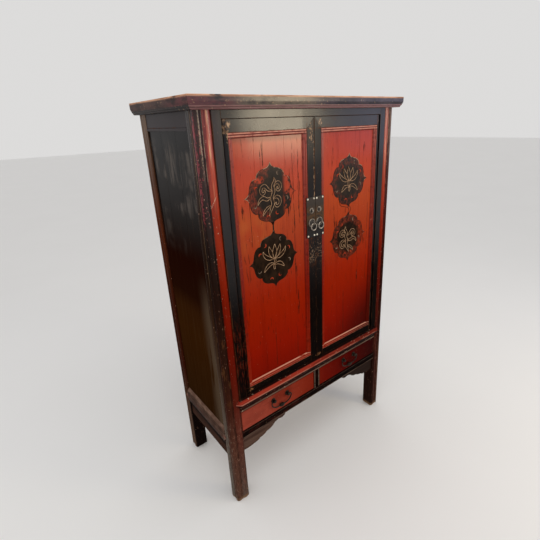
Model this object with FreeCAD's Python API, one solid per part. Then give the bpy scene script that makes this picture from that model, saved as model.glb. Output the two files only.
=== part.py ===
import FreeCAD, Part
import math
import os

from FreeCAD import Vector

# A two-door lacquered cabinet on four lobed posts, in millimetres.
# +X is to the right, the doors face -Y, +Z is up. The origin lies on the floor,
# under the middle of the whole outline.

# Overall sizes, over the posts' crowns
overall_height = 1800.0
body_width = 1050.0
body_depth = 500.0

# Top frame and its moulded edge
top_height = 45.0
top_front_overhang = 33.0
top_side_overhang = 29.0
top_member_width = 110.0
top_flat_height = 15.0
top_round_height = 16.5
top_round_inset = 4.0
top_round_bow = 1.2
top_step = 0.8
top_reed_inset = 4.7
top_reed_bow = 1.9
top_panel_thickness = 20.0
top_tongue_thickness = 10.0

# Lobed posts: an outer bead, a fine bead and a corner lobe on each outer face
post_size = 64.0
post_outer_bead = 32.0
post_fine_bead = 7.0
post_groove = 5.0
post_fine_bow = 2.5
post_lobe_bow = 13.5
post_foot_chamfer = 3.0
post_top_tenon = 20.0

# Joinery
tenon_length = 30.0
tenon_thickness = 14.0
tenon_shoulder = 6.0
tenon_setback = 16.0
tongue = 8.0
housing = 8.0

# Front rails
face_proud = 2.0
lintel_height = 29.0
lintel_depth = 60.0
sill_top = 579.0
sill_depth = 46.0
sill_nose_height = 62.0
sill_ridge_drop = 21.0
sill_ridge_reach = 20.0
sill_upper_bow = 1.5
sill_lower_bow = 2.5
sill_tip_lap = 22.0
sill_shoulder_lap = 4.0
sill_ridge_setback = 19.0
bead_height = 12.0
bead_bow = 4.0
rail_recess = 4.0
drawer_opening_height = 105.0
bottom_rail_height = 43.0
bottom_rail_depth = 40.0
divider_width = 40.0
divider_groove = 4.0

# Jamb strips beside the doors
jamb_width = 35.5
jamb_depth = 36.0

# Sides
side_top_rail_height = 64.0
side_rail_thickness = 34.0
side_top_recess = 6.0
side_bead_bow = 3.0
side_rail_step = 15.0
side_rail_height = 80.0
side_band_height = 15.0
side_band_inset = 9.0
side_rail_bow = 4.0
side_tip_lap = 20.0
side_panel_recess = 10.0
panel_thickness = 12.0
side_apron_height = 88.0
side_apron_recess = 9.0
apron_thickness = 14.0

# Front brackets under the bottom rail
bracket_length = 258.0
bracket_height = 78.0
bracket_recess = 12.0
# Share of the length, share of the height and bow of each cusp, as a share of the height
bracket_shares = (
    (0.24, 0.98, -0.04),
    (0.38, 0.83, -0.05),
    (0.53, 0.65, -0.05),
    (0.70, 0.44, -0.06),
    (0.84, 0.29, 0.05),
    (0.98, 0.21, -0.07),
)

# Inside boards
board_thickness = 18.0
deck_thickness = 14.0
shelf_level = 1130.0
shelf_setback = 40.0
guide_height = 30.0
guide_width = 38.0

# Doors
door_thickness = 32.0
door_layer = 11.0
door_top_gap = 1.5
door_bottom_gap = 2.0
door_hinge_gap = 1.5
door_meeting_gap = 2.0
hinge_stile_flat = 19.0
meeting_stile_flat = 39.0
door_top_flat = 44.0
door_bottom_flat = 34.0
reed_width = 9.0
reed_edge = 2.0
reed_drop = 2.5
reed_bow = 2.2
reed_step = 1.5
reed_fall = 3.0
door_panel_thickness = 10.0
door_tenon_length = 22.0
door_tenon_thickness = 7.0
door_tenon_margin = 12.0

# Door pivots
pivot_radius = 9.0
pivot_clearance = 0.06
pivot_reach = 18.0
pivot_end_gap = 0.2

# Lock plates, nails, staples, bosses and pull rings
plate_width = 50.0
plate_height = 178.0
plate_thickness = 2.0
plate_rise = 161.25
nail_inset = 7.0
nail_head_radius = 4.5
nail_head_height = 2.5
nail_radius = 1.5
nail_length = 16.0
staple_drop = 58.0
staple_radius = 7.5
staple_wire = 2.5
staple_leg = 12.0
boss_drop = 112.0
boss_radius = 19.0
boss_height = 10.0
boss_inset = 21.0
eye_radius = 5.4
eye_wire = 1.9
ring_radius = 15.0
ring_wire = 2.4
ring_play = 0.3

# Drawers
drawer_gap = 1.2
drawer_running_gap = 0.5
drawer_front_thickness = 20.0
drawer_face_recess = 3.0
drawer_rear_gap = 20.0
drawer_board = 12.0
drawer_side_height = 88.0
drawer_side_inset = 2.0
drawer_bottom_thickness = 8.0
drawer_bottom_lift = 8.0
drawer_groove = 6.0

# Drawer bails
bail_level = 472.0
bail_post_spacing = 83.0
bail_rosette_radius = 12.5
bail_rosette_thickness = 2.0
bail_stem_radius = 3.4
bail_ball_radius = 8.6
bail_standoff = 12.0
bail_wire = 2.8
bail_clearance = 0.06
bail_turn_radius = 7.0
bail_sweep_radius = 33.0
bail_collar_gap = 1.5
bail_knop_length = 30.0
bail_knop_radius = 9.5

# Levels and planes that follow from the sizes above
half_width = body_width / 2
front_plane = -(body_depth + top_front_overhang) / 2 + top_front_overhang
rear_plane = front_plane + body_depth
top_underside = overall_height - top_height
lintel_bottom = top_underside - lintel_height
sill_bottom = sill_top - sill_nose_height - bead_height
bottom_rail_top = sill_bottom - drawer_opening_height
bottom_rail_bottom = bottom_rail_top - bottom_rail_height
side_rail_top = bottom_rail_top + side_rail_step
side_rail_bottom = side_rail_top - side_rail_height
side_panel_top = top_underside - side_top_rail_height
opening_half = half_width - post_size
jamb_inner = opening_half - jamb_width
face_plane = front_plane - face_proud
door_back = face_plane + door_thickness
panel_face = face_plane + door_layer
back_panel_front = rear_plane - side_panel_recess - panel_thickness
side_panel_inner = half_width - side_panel_recess - panel_thickness

# Door outline, left leaf
door_outer = -(jamb_inner - door_hinge_gap)
door_inner = -door_meeting_gap / 2
door_top = lintel_bottom - door_top_gap
door_bottom = sill_top + door_bottom_gap
moulding_width = 2 * reed_width + reed_edge
plate_top = (door_top + door_bottom) / 2 + plate_rise + plate_height / 2
staple_level = plate_top - staple_drop
boss_level = plate_top - boss_drop
pivot_x = door_outer + door_thickness / 2
pivot_y = face_plane + door_thickness / 2


def block(x0, x1, y0, y1, z0, z1):
    """A box between two corners."""
    return Part.makeBox(x1 - x0, y1 - y0, z1 - z0, Vector(x0, y0, z0))


def lift(axis, level, a, b):
    """A point of a flat outline, set at a level along the axis that the outline is swept on."""
    if axis == "x":
        return Vector(level, a, b)
    if axis == "y":
        return Vector(a, level, b)
    return Vector(a, b, level)


def sweep(axis, low, high, points):
    """A closed outline swept straight. A point with a third value ends an arc bowed by that much."""
    edges = []
    here = points[0]
    for point in points[1:] + [points[0][:2]]:
        start = lift(axis, low, here[0], here[1])
        end = lift(axis, low, point[0], point[1])
        if start.distanceToPoint(end) > 0:
            if len(point) == 3:
                run = math.hypot(point[0] - here[0], point[1] - here[1])
                normal_a = (here[1] - point[1]) / run
                normal_b = (point[0] - here[0]) / run
                middle_a = (here[0] + point[0]) / 2 + normal_a * point[2]
                middle_b = (here[1] + point[1]) / 2 + normal_b * point[2]
                middle = lift(axis, low, middle_a, middle_b)
                edges.append(Part.Arc(start, middle, end).toShape())
            else:
                edges.append(Part.makeLine(start, end))
        here = point
    travel = lift(axis, high, 0, 0) - lift(axis, low, 0, 0)
    return Part.Face(Part.Wire(edges)).extrude(travel)


def rod(x, y, z, radius, length, axis):
    """A cylinder that starts at a point and runs along a direction."""
    return Part.makeCylinder(radius, length, Vector(x, y, z), axis)


def mirrored(shape):
    """The same piece for the right-hand side."""
    return shape.mirror(Vector(0, 0, 0), Vector(1, 0, 0))


def turned_back(shape):
    """The same piece at the rear, mirrored about the middle of the body's depth."""
    middle = Vector(0, front_plane + body_depth / 2, 0)
    return shape.mirror(middle, Vector(0, 1, 0))


def post_blank():
    """Front left post before its mortises: the three lobes run down both outer faces."""
    x = -half_width
    y = front_plane
    inner = post_size
    bead_end = post_size - post_outer_bead
    lobe_end = bead_end - post_fine_bead
    outline = [
        (x + inner, y + inner),
        (x + inner, y + post_groove),
        (x + bead_end, y + post_groove, post_groove),
        (x + lobe_end, y + post_groove, post_fine_bow),
        (x + post_groove, y + lobe_end, post_lobe_bow),
        (x + post_groove, y + bead_end, post_fine_bow),
        (x + post_groove, y + inner, post_groove),
    ]
    shaft = sweep("z", 0, top_underside, outline)
    foot = [
        (x + post_groove, 0),
        (x, post_foot_chamfer),
        (x, top_underside),
        (x + inner, top_underside),
        (x + inner, post_foot_chamfer),
        (x + inner - post_foot_chamfer, 0),
    ]
    shaft = shaft.common(sweep("y", y, y + inner, foot))
    foot = [
        (y + post_groove, 0),
        (y, post_foot_chamfer),
        (y, top_underside),
        (y + inner, top_underside),
        (y + inner, post_foot_chamfer),
        (y + inner - post_foot_chamfer, 0),
    ]
    shaft = shaft.common(sweep("x", x, x + inner, foot))
    low = (post_size - post_top_tenon) / 2
    high = low + post_top_tenon
    tenon = block(x + low, x + high, y + low, y + high, top_underside, top_underside + post_top_tenon)
    return shaft.fuse(tenon)


def top_outline(outer):
    """Moulded edge of the top frame: a flat, a round, a small step and two reeds that turn under."""
    top = overall_height
    round_top = top - top_flat_height
    round_bottom = round_top - top_round_height
    reed = (round_bottom - top_underside) / 2
    inset = top_round_inset + top_step
    return [
        (outer, top),
        (outer, round_top),
        (outer + top_round_inset, round_bottom, -top_round_bow),
        (outer + inset, round_bottom),
        (outer + inset + top_reed_inset, round_bottom - reed, -top_reed_bow),
        (outer + inset + 2 * top_reed_inset, top_underside, -top_reed_bow),
        (outer + top_member_width, top_underside),
        (outer + top_member_width, top),
    ]


def top_pieces(posts):
    """Mitred top frame, its rear member and the flush panel tongued into it."""
    left = -(half_width + top_side_overhang)
    front = front_plane - top_front_overhang
    inner_x = left + top_member_width
    inner_y = front + top_member_width
    rear_inner = rear_plane - top_member_width
    front_shape = sweep("x", left, -left, top_outline(front))
    mitre = [(left, front), (-left, front), (-inner_x, inner_y), (inner_x, inner_y)]
    front_shape = front_shape.common(sweep("z", top_underside, overall_height, mitre))
    left_shape = sweep("y", front, rear_plane, top_outline(left))
    mitre = [(left, front), (inner_x, inner_y), (inner_x, rear_plane), (left, rear_plane)]
    left_shape = left_shape.common(sweep("z", top_underside, overall_height, mitre))
    rear_shape = block(inner_x, -inner_x, rear_inner, rear_plane, top_underside, overall_height)
    tenon_low = top_underside + tenon_shoulder
    tenon_high = tenon_low + tenon_thickness
    rear_tenon = block(
        inner_x - tenon_length, tenon_length - inner_x,
        rear_plane - tenon_setback - tenon_length, rear_plane - tenon_setback, tenon_low, tenon_high,
    )
    rear_shape = rear_shape.fuse(rear_tenon)
    panel_low = overall_height - top_panel_thickness
    panel = block(inner_x, -inner_x, inner_y, rear_inner, panel_low, overall_height)
    flange = block(
        inner_x - tongue, tongue - inner_x, inner_y - tongue, rear_inner + tongue,
        panel_low, panel_low + top_tongue_thickness,
    )
    panel = panel.fuse(flange)
    left_shape = left_shape.cut([panel, rear_shape] + posts)
    return {
        "top_panel": panel,
        "top_front_member": front_shape.cut([panel] + posts),
        "top_rear_member": rear_shape.cut([panel] + posts),
        "top_left_member": left_shape,
        "top_right_member": mirrored(left_shape),
    }


def cross_tenons(low, high, depth_from_front):
    """Tenons at both ends of a rail that runs from left to right."""
    reach = opening_half + tenon_length
    y = front_plane + depth_from_front
    return block(-reach, reach, y, y + tenon_thickness, low + tenon_shoulder, high - tenon_shoulder)


def lintel():
    """Rail over the doors: its face lies between the jambs, its back reaches the posts."""
    jamb_back = face_plane + jamb_depth
    back = face_plane + lintel_depth
    face = block(-jamb_inner, jamb_inner, face_plane, back, lintel_bottom, top_underside)
    rear = block(-opening_half, opening_half, jamb_back, back, lintel_bottom, top_underside)
    tenons = cross_tenons(lintel_bottom, top_underside, jamb_depth)
    shape = face.fuse([rear, tenons])
    radius = pivot_radius + pivot_clearance
    hole = rod(pivot_x, pivot_y, lintel_bottom, radius, pivot_reach, Vector(0, 0, 1))
    return shape.cut([hole, mirrored(hole)])


def sill(posts):
    """Door sill: a ridged nose with pointed shoulders over a small bead."""
    nose_bottom = sill_top - sill_nose_height
    ridge = sill_top - sill_ridge_drop
    back = front_plane + sill_depth
    face = front_plane + rail_recess
    tip = front_plane - sill_ridge_reach
    body = sweep("x", -opening_half, opening_half, [
        (back, sill_bottom),
        (face, sill_bottom),
        (face, nose_bottom, bead_bow),
        (front_plane, nose_bottom),
        (tip, ridge, -sill_lower_bow),
        (face_plane, sill_top, sill_upper_bow),
        (back, sill_top),
    ])
    reach = opening_half + sill_tip_lap
    shoulder = opening_half + sill_shoulder_lap
    groove_plane = front_plane + post_groove
    nose = sweep("x", -reach, reach, [
        (groove_plane, nose_bottom),
        (front_plane, nose_bottom),
        (tip, ridge, -sill_lower_bow),
        (face_plane, sill_top, sill_upper_bow),
        (groove_plane, sill_top),
    ])
    points = sweep("y", tip, groove_plane, [
        (-reach, ridge), (-shoulder, sill_top), (shoulder, sill_top),
        (reach, ridge), (shoulder, nose_bottom), (-shoulder, nose_bottom),
    ])
    ridge_end = opening_half - sill_ridge_setback
    bevel = sweep("z", nose_bottom, sill_top, [
        (-reach, groove_plane), (-reach, front_plane), (-ridge_end, tip),
        (ridge_end, tip), (reach, front_plane), (reach, groove_plane),
    ])
    nose = nose.common(points).common(bevel).cut(posts)
    body = body.common(block(-opening_half, opening_half, front_plane, back, sill_bottom, sill_top))
    tenons = cross_tenons(sill_bottom, sill_top, tenon_setback)
    shape = body.fuse([nose, tenons])
    radius = pivot_radius + pivot_clearance
    hole = rod(pivot_x, pivot_y, sill_top, radius, pivot_reach + pivot_end_gap, Vector(0, 0, -1))
    return shape.cut([hole, mirrored(hole)]).removeSplitter()


def bottom_rail():
    """Rail under the drawers, with a bead along both edges."""
    back = front_plane + bottom_rail_depth
    face = front_plane + rail_recess
    body = sweep("x", -opening_half, opening_half, [
        (back, bottom_rail_bottom),
        (face, bottom_rail_bottom),
        (face, bottom_rail_bottom + bead_height, bead_bow),
        (face, bottom_rail_top - bead_height),
        (face, bottom_rail_top, bead_bow),
        (back, bottom_rail_top),
    ])
    return body.fuse(cross_tenons(bottom_rail_bottom, bottom_rail_top, tenon_setback))


def divider():
    """Upright between the drawers, with a bead along both edges and a groove between them."""
    half = divider_width / 2
    groove_half = half - bead_height
    face = front_plane + rail_recess
    floor = face + divider_groove
    back = front_plane + bottom_rail_depth
    return sweep("z", bottom_rail_top, sill_bottom, [
        (half, back),
        (half, face),
        (groove_half, face, bead_bow),
        (groove_half, floor),
        (-groove_half, floor),
        (-groove_half, face),
        (-half, face, bead_bow),
        (-half, back),
    ])


def jamb():
    """Left jamb strip, from the sill to the top frame."""
    back = face_plane + jamb_depth
    return block(-opening_half, -jamb_inner, face_plane, back, sill_top, top_underside)


def bracket():
    """Left front bracket: a board with a cusped lower edge that rises away from the post."""
    x = -opening_half
    points = [(x, bottom_rail_bottom), (x, bottom_rail_bottom - bracket_height)]
    for along, down, bow in bracket_shares:
        place = (x + along * bracket_length, bottom_rail_bottom - down * bracket_height)
        points.append(place + (bow * bracket_height,))
    points.append((x + bracket_length, bottom_rail_bottom))
    y = front_plane + bracket_recess
    return sweep("y", y, y + apron_thickness, points)


def side_tenons(low, high):
    """Tenons at both ends of a left side rail."""
    x = -half_width + tenon_setback
    front = front_plane + post_size - tenon_length
    rear = rear_plane - post_size + tenon_length
    return block(x, x + tenon_thickness, front, rear, low + tenon_shoulder, high - tenon_shoulder)


def side_top_rail():
    """Left side top rail, with a bead along its lower edge."""
    outer = -half_width + side_top_recess
    inner = outer + side_rail_thickness
    body = sweep("y", front_plane + post_size, rear_plane - post_size, [
        (inner, side_panel_top),
        (outer, side_panel_top),
        (outer, side_panel_top + bead_height, side_bead_bow),
        (outer, top_underside),
        (inner, top_underside),
    ])
    return body.fuse(side_tenons(side_panel_top, top_underside))


def side_bottom_rail(posts):
    """Left side bottom rail: a sloping band over a rounded face, pointed where it laps the posts."""
    outer = -half_width
    inner = outer + side_rail_thickness
    band = side_rail_top - side_band_height
    front = front_plane + post_size
    rear = rear_plane - post_size
    body = sweep("y", front, rear, [
        (inner, side_rail_bottom),
        (outer, side_rail_bottom),
        (outer, band, side_rail_bow),
        (outer + side_band_inset, side_rail_top),
        (inner, side_rail_top),
    ])
    lap = outer + post_groove
    nose = sweep("y", front - side_tip_lap, rear + side_tip_lap, [
        (lap, side_rail_bottom),
        (outer, side_rail_bottom),
        (outer, band, side_rail_bow),
        (lap, band),
    ])
    middle = (band + side_rail_bottom) / 2
    points = sweep("x", outer - post_groove, lap, [
        (front - side_tip_lap, middle), (front, band), (rear, band),
        (rear + side_tip_lap, middle), (rear, side_rail_bottom), (front, side_rail_bottom),
    ])
    nose = nose.common(points).cut(posts)
    tenons = side_tenons(side_rail_bottom, side_rail_top)
    return body.fuse([nose, tenons]).removeSplitter()


def side_panel():
    """Left side panel, tongued into the posts and both side rails."""
    x = -half_width + side_panel_recess
    front = front_plane + post_size - tongue
    rear = rear_plane - post_size + tongue
    return block(x, x + panel_thickness, front, rear, side_rail_top - tongue, side_panel_top + tongue)


def side_apron():
    """Left side apron, a plain board under the side bottom rail, housed in the posts."""
    x = -half_width + side_apron_recess
    front = front_plane + post_size - housing
    rear = rear_plane - post_size + housing
    low = side_rail_bottom - side_apron_height
    return block(x, x + apron_thickness, front, rear, low, side_rail_bottom)


def rear_rail(low, high):
    """Rail across the back."""
    y = rear_plane - side_top_recess
    body = block(-opening_half, opening_half, y - side_rail_thickness, y, low, high)
    depth = body_depth - tenon_setback - tenon_thickness
    return body.fuse(cross_tenons(low, high, depth))


def back_panel():
    """Back panel, tongued into the rear posts and rails."""
    reach = opening_half + tongue
    low = side_rail_top - tongue
    high = side_panel_top + tongue
    return block(-reach, reach, back_panel_front, back_panel_front + panel_thickness, low, high)


def notched_board(front, low, high, wide, deep):
    """A board between sides, front and back, notched round the posts and housed in them."""
    board = block(-wide, wide, front, deep, low, high)
    inner = opening_half + housing
    notch_front = front_plane + post_size - housing
    notch_rear = rear_plane - post_size + housing
    left_front = block(-half_width, -inner, front_plane, notch_front, low, high)
    left_rear = block(-half_width, -inner, notch_rear, rear_plane, low, high)
    return board.cut([left_front, left_rear, mirrored(left_front), mirrored(left_rear)])


def inside_boards():
    """Floor of the door space, shelf, and the deck and guide that the drawers run on."""
    wide = side_panel_inner
    floor_front = front_plane + sill_depth
    shelf_front = face_plane + shelf_setback
    deck_front = front_plane + bottom_rail_depth
    deck_wide = half_width - side_rail_thickness
    deck_rear = rear_plane - side_top_recess - side_rail_thickness
    floor_low = sill_bottom
    deck_low = bottom_rail_top - deck_thickness
    shelf_high = shelf_level + board_thickness
    half = guide_width / 2
    guide_high = bottom_rail_top + guide_height
    return {
        "cabinet_floor": notched_board(
            floor_front, floor_low, floor_low + board_thickness, wide, back_panel_front
        ),
        "shelf": notched_board(shelf_front, shelf_level, shelf_high, wide, back_panel_front),
        "drawer_deck": notched_board(deck_front, deck_low, bottom_rail_top, deck_wide, deck_rear),
        "drawer_guide": block(-half, half, deck_front, deck_rear, bottom_rail_top, guide_high),
    }


def door_envelope():
    """Plan of the left door: its hinge edge is rounded about the pivot so that it can turn."""
    bow = door_thickness / 2 * (1 - math.sqrt(2) / 2)
    return sweep("z", door_bottom, door_top, [
        (pivot_x, face_plane),
        (door_inner, face_plane),
        (door_inner, door_back),
        (pivot_x, door_back),
        (door_outer, pivot_y, -bow),
        (pivot_x, face_plane, -bow),
    ])


def reeded_member(axis, low, high, edge, inward):
    """Front layer of a door member: a flat, then two reeds that step down towards the panel."""
    flat_end = edge
    first = flat_end + inward * reed_width
    second = first + inward * reed_width
    inner = second + inward * reed_edge
    start = face_plane + reed_drop
    bow = reed_bow * inward
    half_fall = start + reed_fall
    if axis == "z":
        points = [
            (flat_end, start),
            (first, start, -bow),
            (first, start + reed_step),
            (second, half_fall + reed_step, -bow),
            (inner, panel_face),
            (flat_end, panel_face),
        ]
        return sweep("z", low, high, points)
    points = [
        (start, flat_end),
        (start, first, bow),
        (start + reed_step, first),
        (half_fall + reed_step, second, bow),
        (panel_face, inner),
        (panel_face, flat_end),
    ]
    return sweep("x", low, high, points)


def door_frame():
    """Left door frame: mitred in front, with stiles run through and tenoned rails behind."""
    envelope = door_envelope()
    left = door_outer + hinge_stile_flat
    right = door_inner - meeting_stile_flat
    top = door_top - door_top_flat
    bottom = door_bottom + door_bottom_flat
    in_left = left + moulding_width
    in_right = right - moulding_width
    in_top = top - moulding_width
    in_bottom = bottom + moulding_width
    front = face_plane
    mitres = {
        "hinge_stile": [(door_outer, door_bottom), (left, bottom), (in_left, in_bottom),
                        (in_left, in_top), (left, top), (door_outer, door_top)],
        "meeting_stile": [(door_inner, door_bottom), (right, bottom), (in_right, in_bottom),
                          (in_right, in_top), (right, top), (door_inner, door_top)],
        "top_rail": [(door_outer, door_top), (left, top), (in_left, in_top),
                     (in_right, in_top), (right, top), (door_inner, door_top)],
        "bottom_rail": [(door_outer, door_bottom), (left, bottom), (in_left, in_bottom),
                        (in_right, in_bottom), (right, bottom), (door_inner, door_bottom)],
    }
    flats = {
        "hinge_stile": block(door_outer, left, front, panel_face, door_bottom, door_top),
        "meeting_stile": block(right, door_inner, front, panel_face, door_bottom, door_top),
        "top_rail": block(door_outer, door_inner, front, panel_face, top, door_top),
        "bottom_rail": block(door_outer, door_inner, front, panel_face, door_bottom, bottom),
    }
    reeds = {
        "hinge_stile": reeded_member("z", door_bottom, door_top, left, 1),
        "meeting_stile": reeded_member("z", door_bottom, door_top, right, -1),
        "top_rail": reeded_member("x", door_outer, door_inner, top, -1),
        "bottom_rail": reeded_member("x", door_outer, door_inner, bottom, 1),
    }
    backs = {
        "hinge_stile": block(door_outer, in_left, panel_face, door_back, door_bottom, door_top),
        "meeting_stile": block(in_right, door_inner, panel_face, door_back, door_bottom, door_top),
        "top_rail": block(in_left, in_right, panel_face, door_back, in_top, door_top),
        "bottom_rail": block(in_left, in_right, panel_face, door_back, door_bottom, in_bottom),
    }
    panel = block(
        in_left - tongue, in_right + tongue, panel_face, panel_face + door_panel_thickness,
        in_bottom - tongue, in_top + tongue,
    )
    tenon_front = panel_face + door_panel_thickness
    tenon_back = tenon_front + door_tenon_thickness
    reach_left = in_left - door_tenon_length
    reach_right = in_right + door_tenon_length
    top_tenon = block(
        reach_left, reach_right, tenon_front, tenon_back,
        in_top + door_tenon_margin, door_top - door_tenon_margin,
    )
    bottom_tenon = block(
        reach_left, reach_right, tenon_front, tenon_back,
        door_bottom + door_tenon_margin, in_bottom - door_tenon_margin,
    )
    members = {}
    for name, mitre in mitres.items():
        layer = flats[name].fuse(reeds[name]).common(sweep("y", front, panel_face, mitre))
        members[name] = layer.fuse(backs[name]).common(envelope).cut(panel)
    members["top_rail"] = members["top_rail"].fuse(top_tenon)
    members["bottom_rail"] = members["bottom_rail"].fuse(bottom_tenon)
    for name in ("hinge_stile", "meeting_stile"):
        members[name] = members[name].cut([top_tenon, bottom_tenon])
    up = Vector(0, 0, 1)
    top_pin = rod(pivot_x, pivot_y, door_top, pivot_radius, door_top_gap + pivot_reach - pivot_end_gap, up)
    low_reach = door_bottom_gap + pivot_reach
    low_pin = rod(pivot_x, pivot_y, door_bottom - low_reach, pivot_radius, low_reach, up)
    members["hinge_stile"] = members["hinge_stile"].fuse([top_pin, low_pin])
    pieces = {"left_door_" + name: shape.removeSplitter() for name, shape in members.items()}
    pieces["left_door_panel"] = panel
    return pieces


def hoop(x, y, z, radius, wire, leg):
    """A wire loop that stands out of a surface on two legs; its hole runs from left to right."""
    start = Vector(x, y + leg, z - radius)
    low = Vector(x, y, z - radius)
    nose = Vector(x, y - radius, z)
    high = Vector(x, y, z + radius)
    end = Vector(x, y + leg, z + radius)
    path = Part.Wire([
        Part.makeLine(start, low),
        Part.Arc(low, nose, high).toShape(),
        Part.makeLine(high, end),
    ])
    section = Part.Wire([Part.makeCircle(wire, start, Vector(0, 1, 0))])
    return path.makePipeShell([section], True, False)


def domed(x, y, z, radius, height):
    """A domed head that faces the front, as a cap cut from a ball."""
    ball = (radius * radius + height * height) / (2 * height)
    cap = Part.makeSphere(ball, Vector(x, y - height + ball, z))
    return cap.common(block(x - radius, x + radius, y - height, y, z - radius, z + radius))


def plate_outer():
    """Outer edge of the left lock plate."""
    return door_inner - plate_width


def ring_place():
    """Middle of the left pull ring's wire where it hangs in its eye."""
    drop = eye_radius - eye_wire - ring_wire - ring_play
    y = face_plane - plate_thickness - boss_height - eye_radius / 2
    return door_inner - boss_inset, y, boss_level - drop


def door_fittings():
    """Left lock plate with its nails, padlock staple, ring boss and pull ring."""
    plate_bottom = plate_top - plate_height
    plate_face = face_plane - plate_thickness
    plate = block(plate_outer(), door_inner, plate_face, face_plane, plate_bottom, plate_top)
    back = Vector(0, 1, 0)
    nails = []
    for x in (plate_outer() + nail_inset, door_inner - nail_inset):
        for z in (plate_bottom + nail_inset, plate_top - nail_inset):
            shank = rod(x, plate_face, z, nail_radius, nail_length, back)
            nails.append(domed(x, plate_face, z, nail_head_radius, nail_head_height).fuse(shank))
    x = door_inner - boss_inset
    staple = hoop(x, plate_face, staple_level, staple_radius, staple_wire, staple_leg)
    dome = domed(x, plate_face, boss_level, boss_radius, boss_height)
    eye_y = ring_place()[1]
    eye = hoop(x, eye_y, boss_level, eye_radius, eye_wire, boss_height)
    boss = dome.fuse(eye.common(block(
        x - boss_radius, x + boss_radius, eye_y - boss_height, plate_face,
        boss_level - boss_radius, boss_level + boss_radius,
    )))
    ring_x, ring_y, ring_z = ring_place()
    centre = Vector(ring_x, ring_y, ring_z - ring_radius)
    ring = Part.makeTorus(ring_radius, ring_wire, centre, Vector(0, 1, 0))
    return {
        "left_lock_plate": plate,
        "left_plate_nails": nails,
        "left_staple_and_boss": [staple, boss],
        "left_pull_ring": ring,
    }


def door_pieces():
    """All pieces of the left door, with the fittings' holes cut through what they fasten."""
    pieces = door_frame()
    pieces.update(door_fittings())
    nails = pieces["left_plate_nails"]
    staple = pieces["left_staple_and_boss"][0]
    pieces["left_lock_plate"] = pieces["left_lock_plate"].cut(nails + [staple])
    pieces["left_door_meeting_stile"] = pieces["left_door_meeting_stile"].cut(nails + [staple])
    return pieces


def drawer_box():
    """Left drawer: front, sides and back, and a bottom set in grooves."""
    outer = -opening_half + drawer_gap
    inner = -divider_width / 2 - drawer_gap
    low = bottom_rail_top + drawer_running_gap
    high = sill_bottom - drawer_gap
    face = front_plane + drawer_face_recess
    front_back = face + drawer_front_thickness
    rear = rear_plane - side_top_recess - side_rail_thickness - drawer_rear_gap
    side_high = low + drawer_side_height
    front = block(outer, inner, face, front_back, low, high)
    side_outer = outer + drawer_side_inset
    side_inner = inner - drawer_side_inset
    left = block(side_outer, side_outer + drawer_board, front_back, rear, low, side_high)
    right = block(side_inner - drawer_board, side_inner, front_back, rear, low, side_high)
    back_left = side_outer + drawer_board
    back_right = side_inner - drawer_board
    back = block(back_left, back_right, rear - drawer_board, rear, low, side_high)
    floor_low = low + drawer_bottom_lift
    floor = block(
        back_left - drawer_groove, back_right + drawer_groove,
        front_back - drawer_groove, rear - drawer_board + drawer_groove,
        floor_low, floor_low + drawer_bottom_thickness,
    )
    box = [left.cut(floor), right.cut(floor), back.cut(floor)]
    return {"left_drawer_front": front.cut(floor), "left_drawer_box": box, "left_drawer_bottom": floor}


def bail_place():
    """Middle of the left bail's pivot line."""
    middle = -(opening_half + divider_width / 2) / 2
    y = front_plane + drawer_face_recess - bail_standoff
    return middle, y, bail_level


def bail_posts():
    """Two eyed posts on the left drawer, each on a small rosette."""
    middle, y, z = bail_place()
    face = front_plane + drawer_face_recess
    back = Vector(0, 1, 0)
    posts = []
    for side in (-1, 1):
        x = middle + side * bail_post_spacing / 2
        ball = Part.makeSphere(bail_ball_radius, Vector(x, y, z), Vector(1, 0, 0))
        length = bail_standoff + drawer_front_thickness
        stem = rod(x, y, z, bail_stem_radius, length, back)
        rosette = rod(
            x, face - bail_rosette_thickness, z, bail_rosette_radius, bail_rosette_thickness, back
        )
        eye_start = x - bail_ball_radius
        eye = rod(eye_start, y, z, bail_wire + bail_clearance, 2 * bail_ball_radius, Vector(1, 0, 0))
        posts.append(ball.fuse([stem, rosette]).cut(eye))
    return posts


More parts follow.
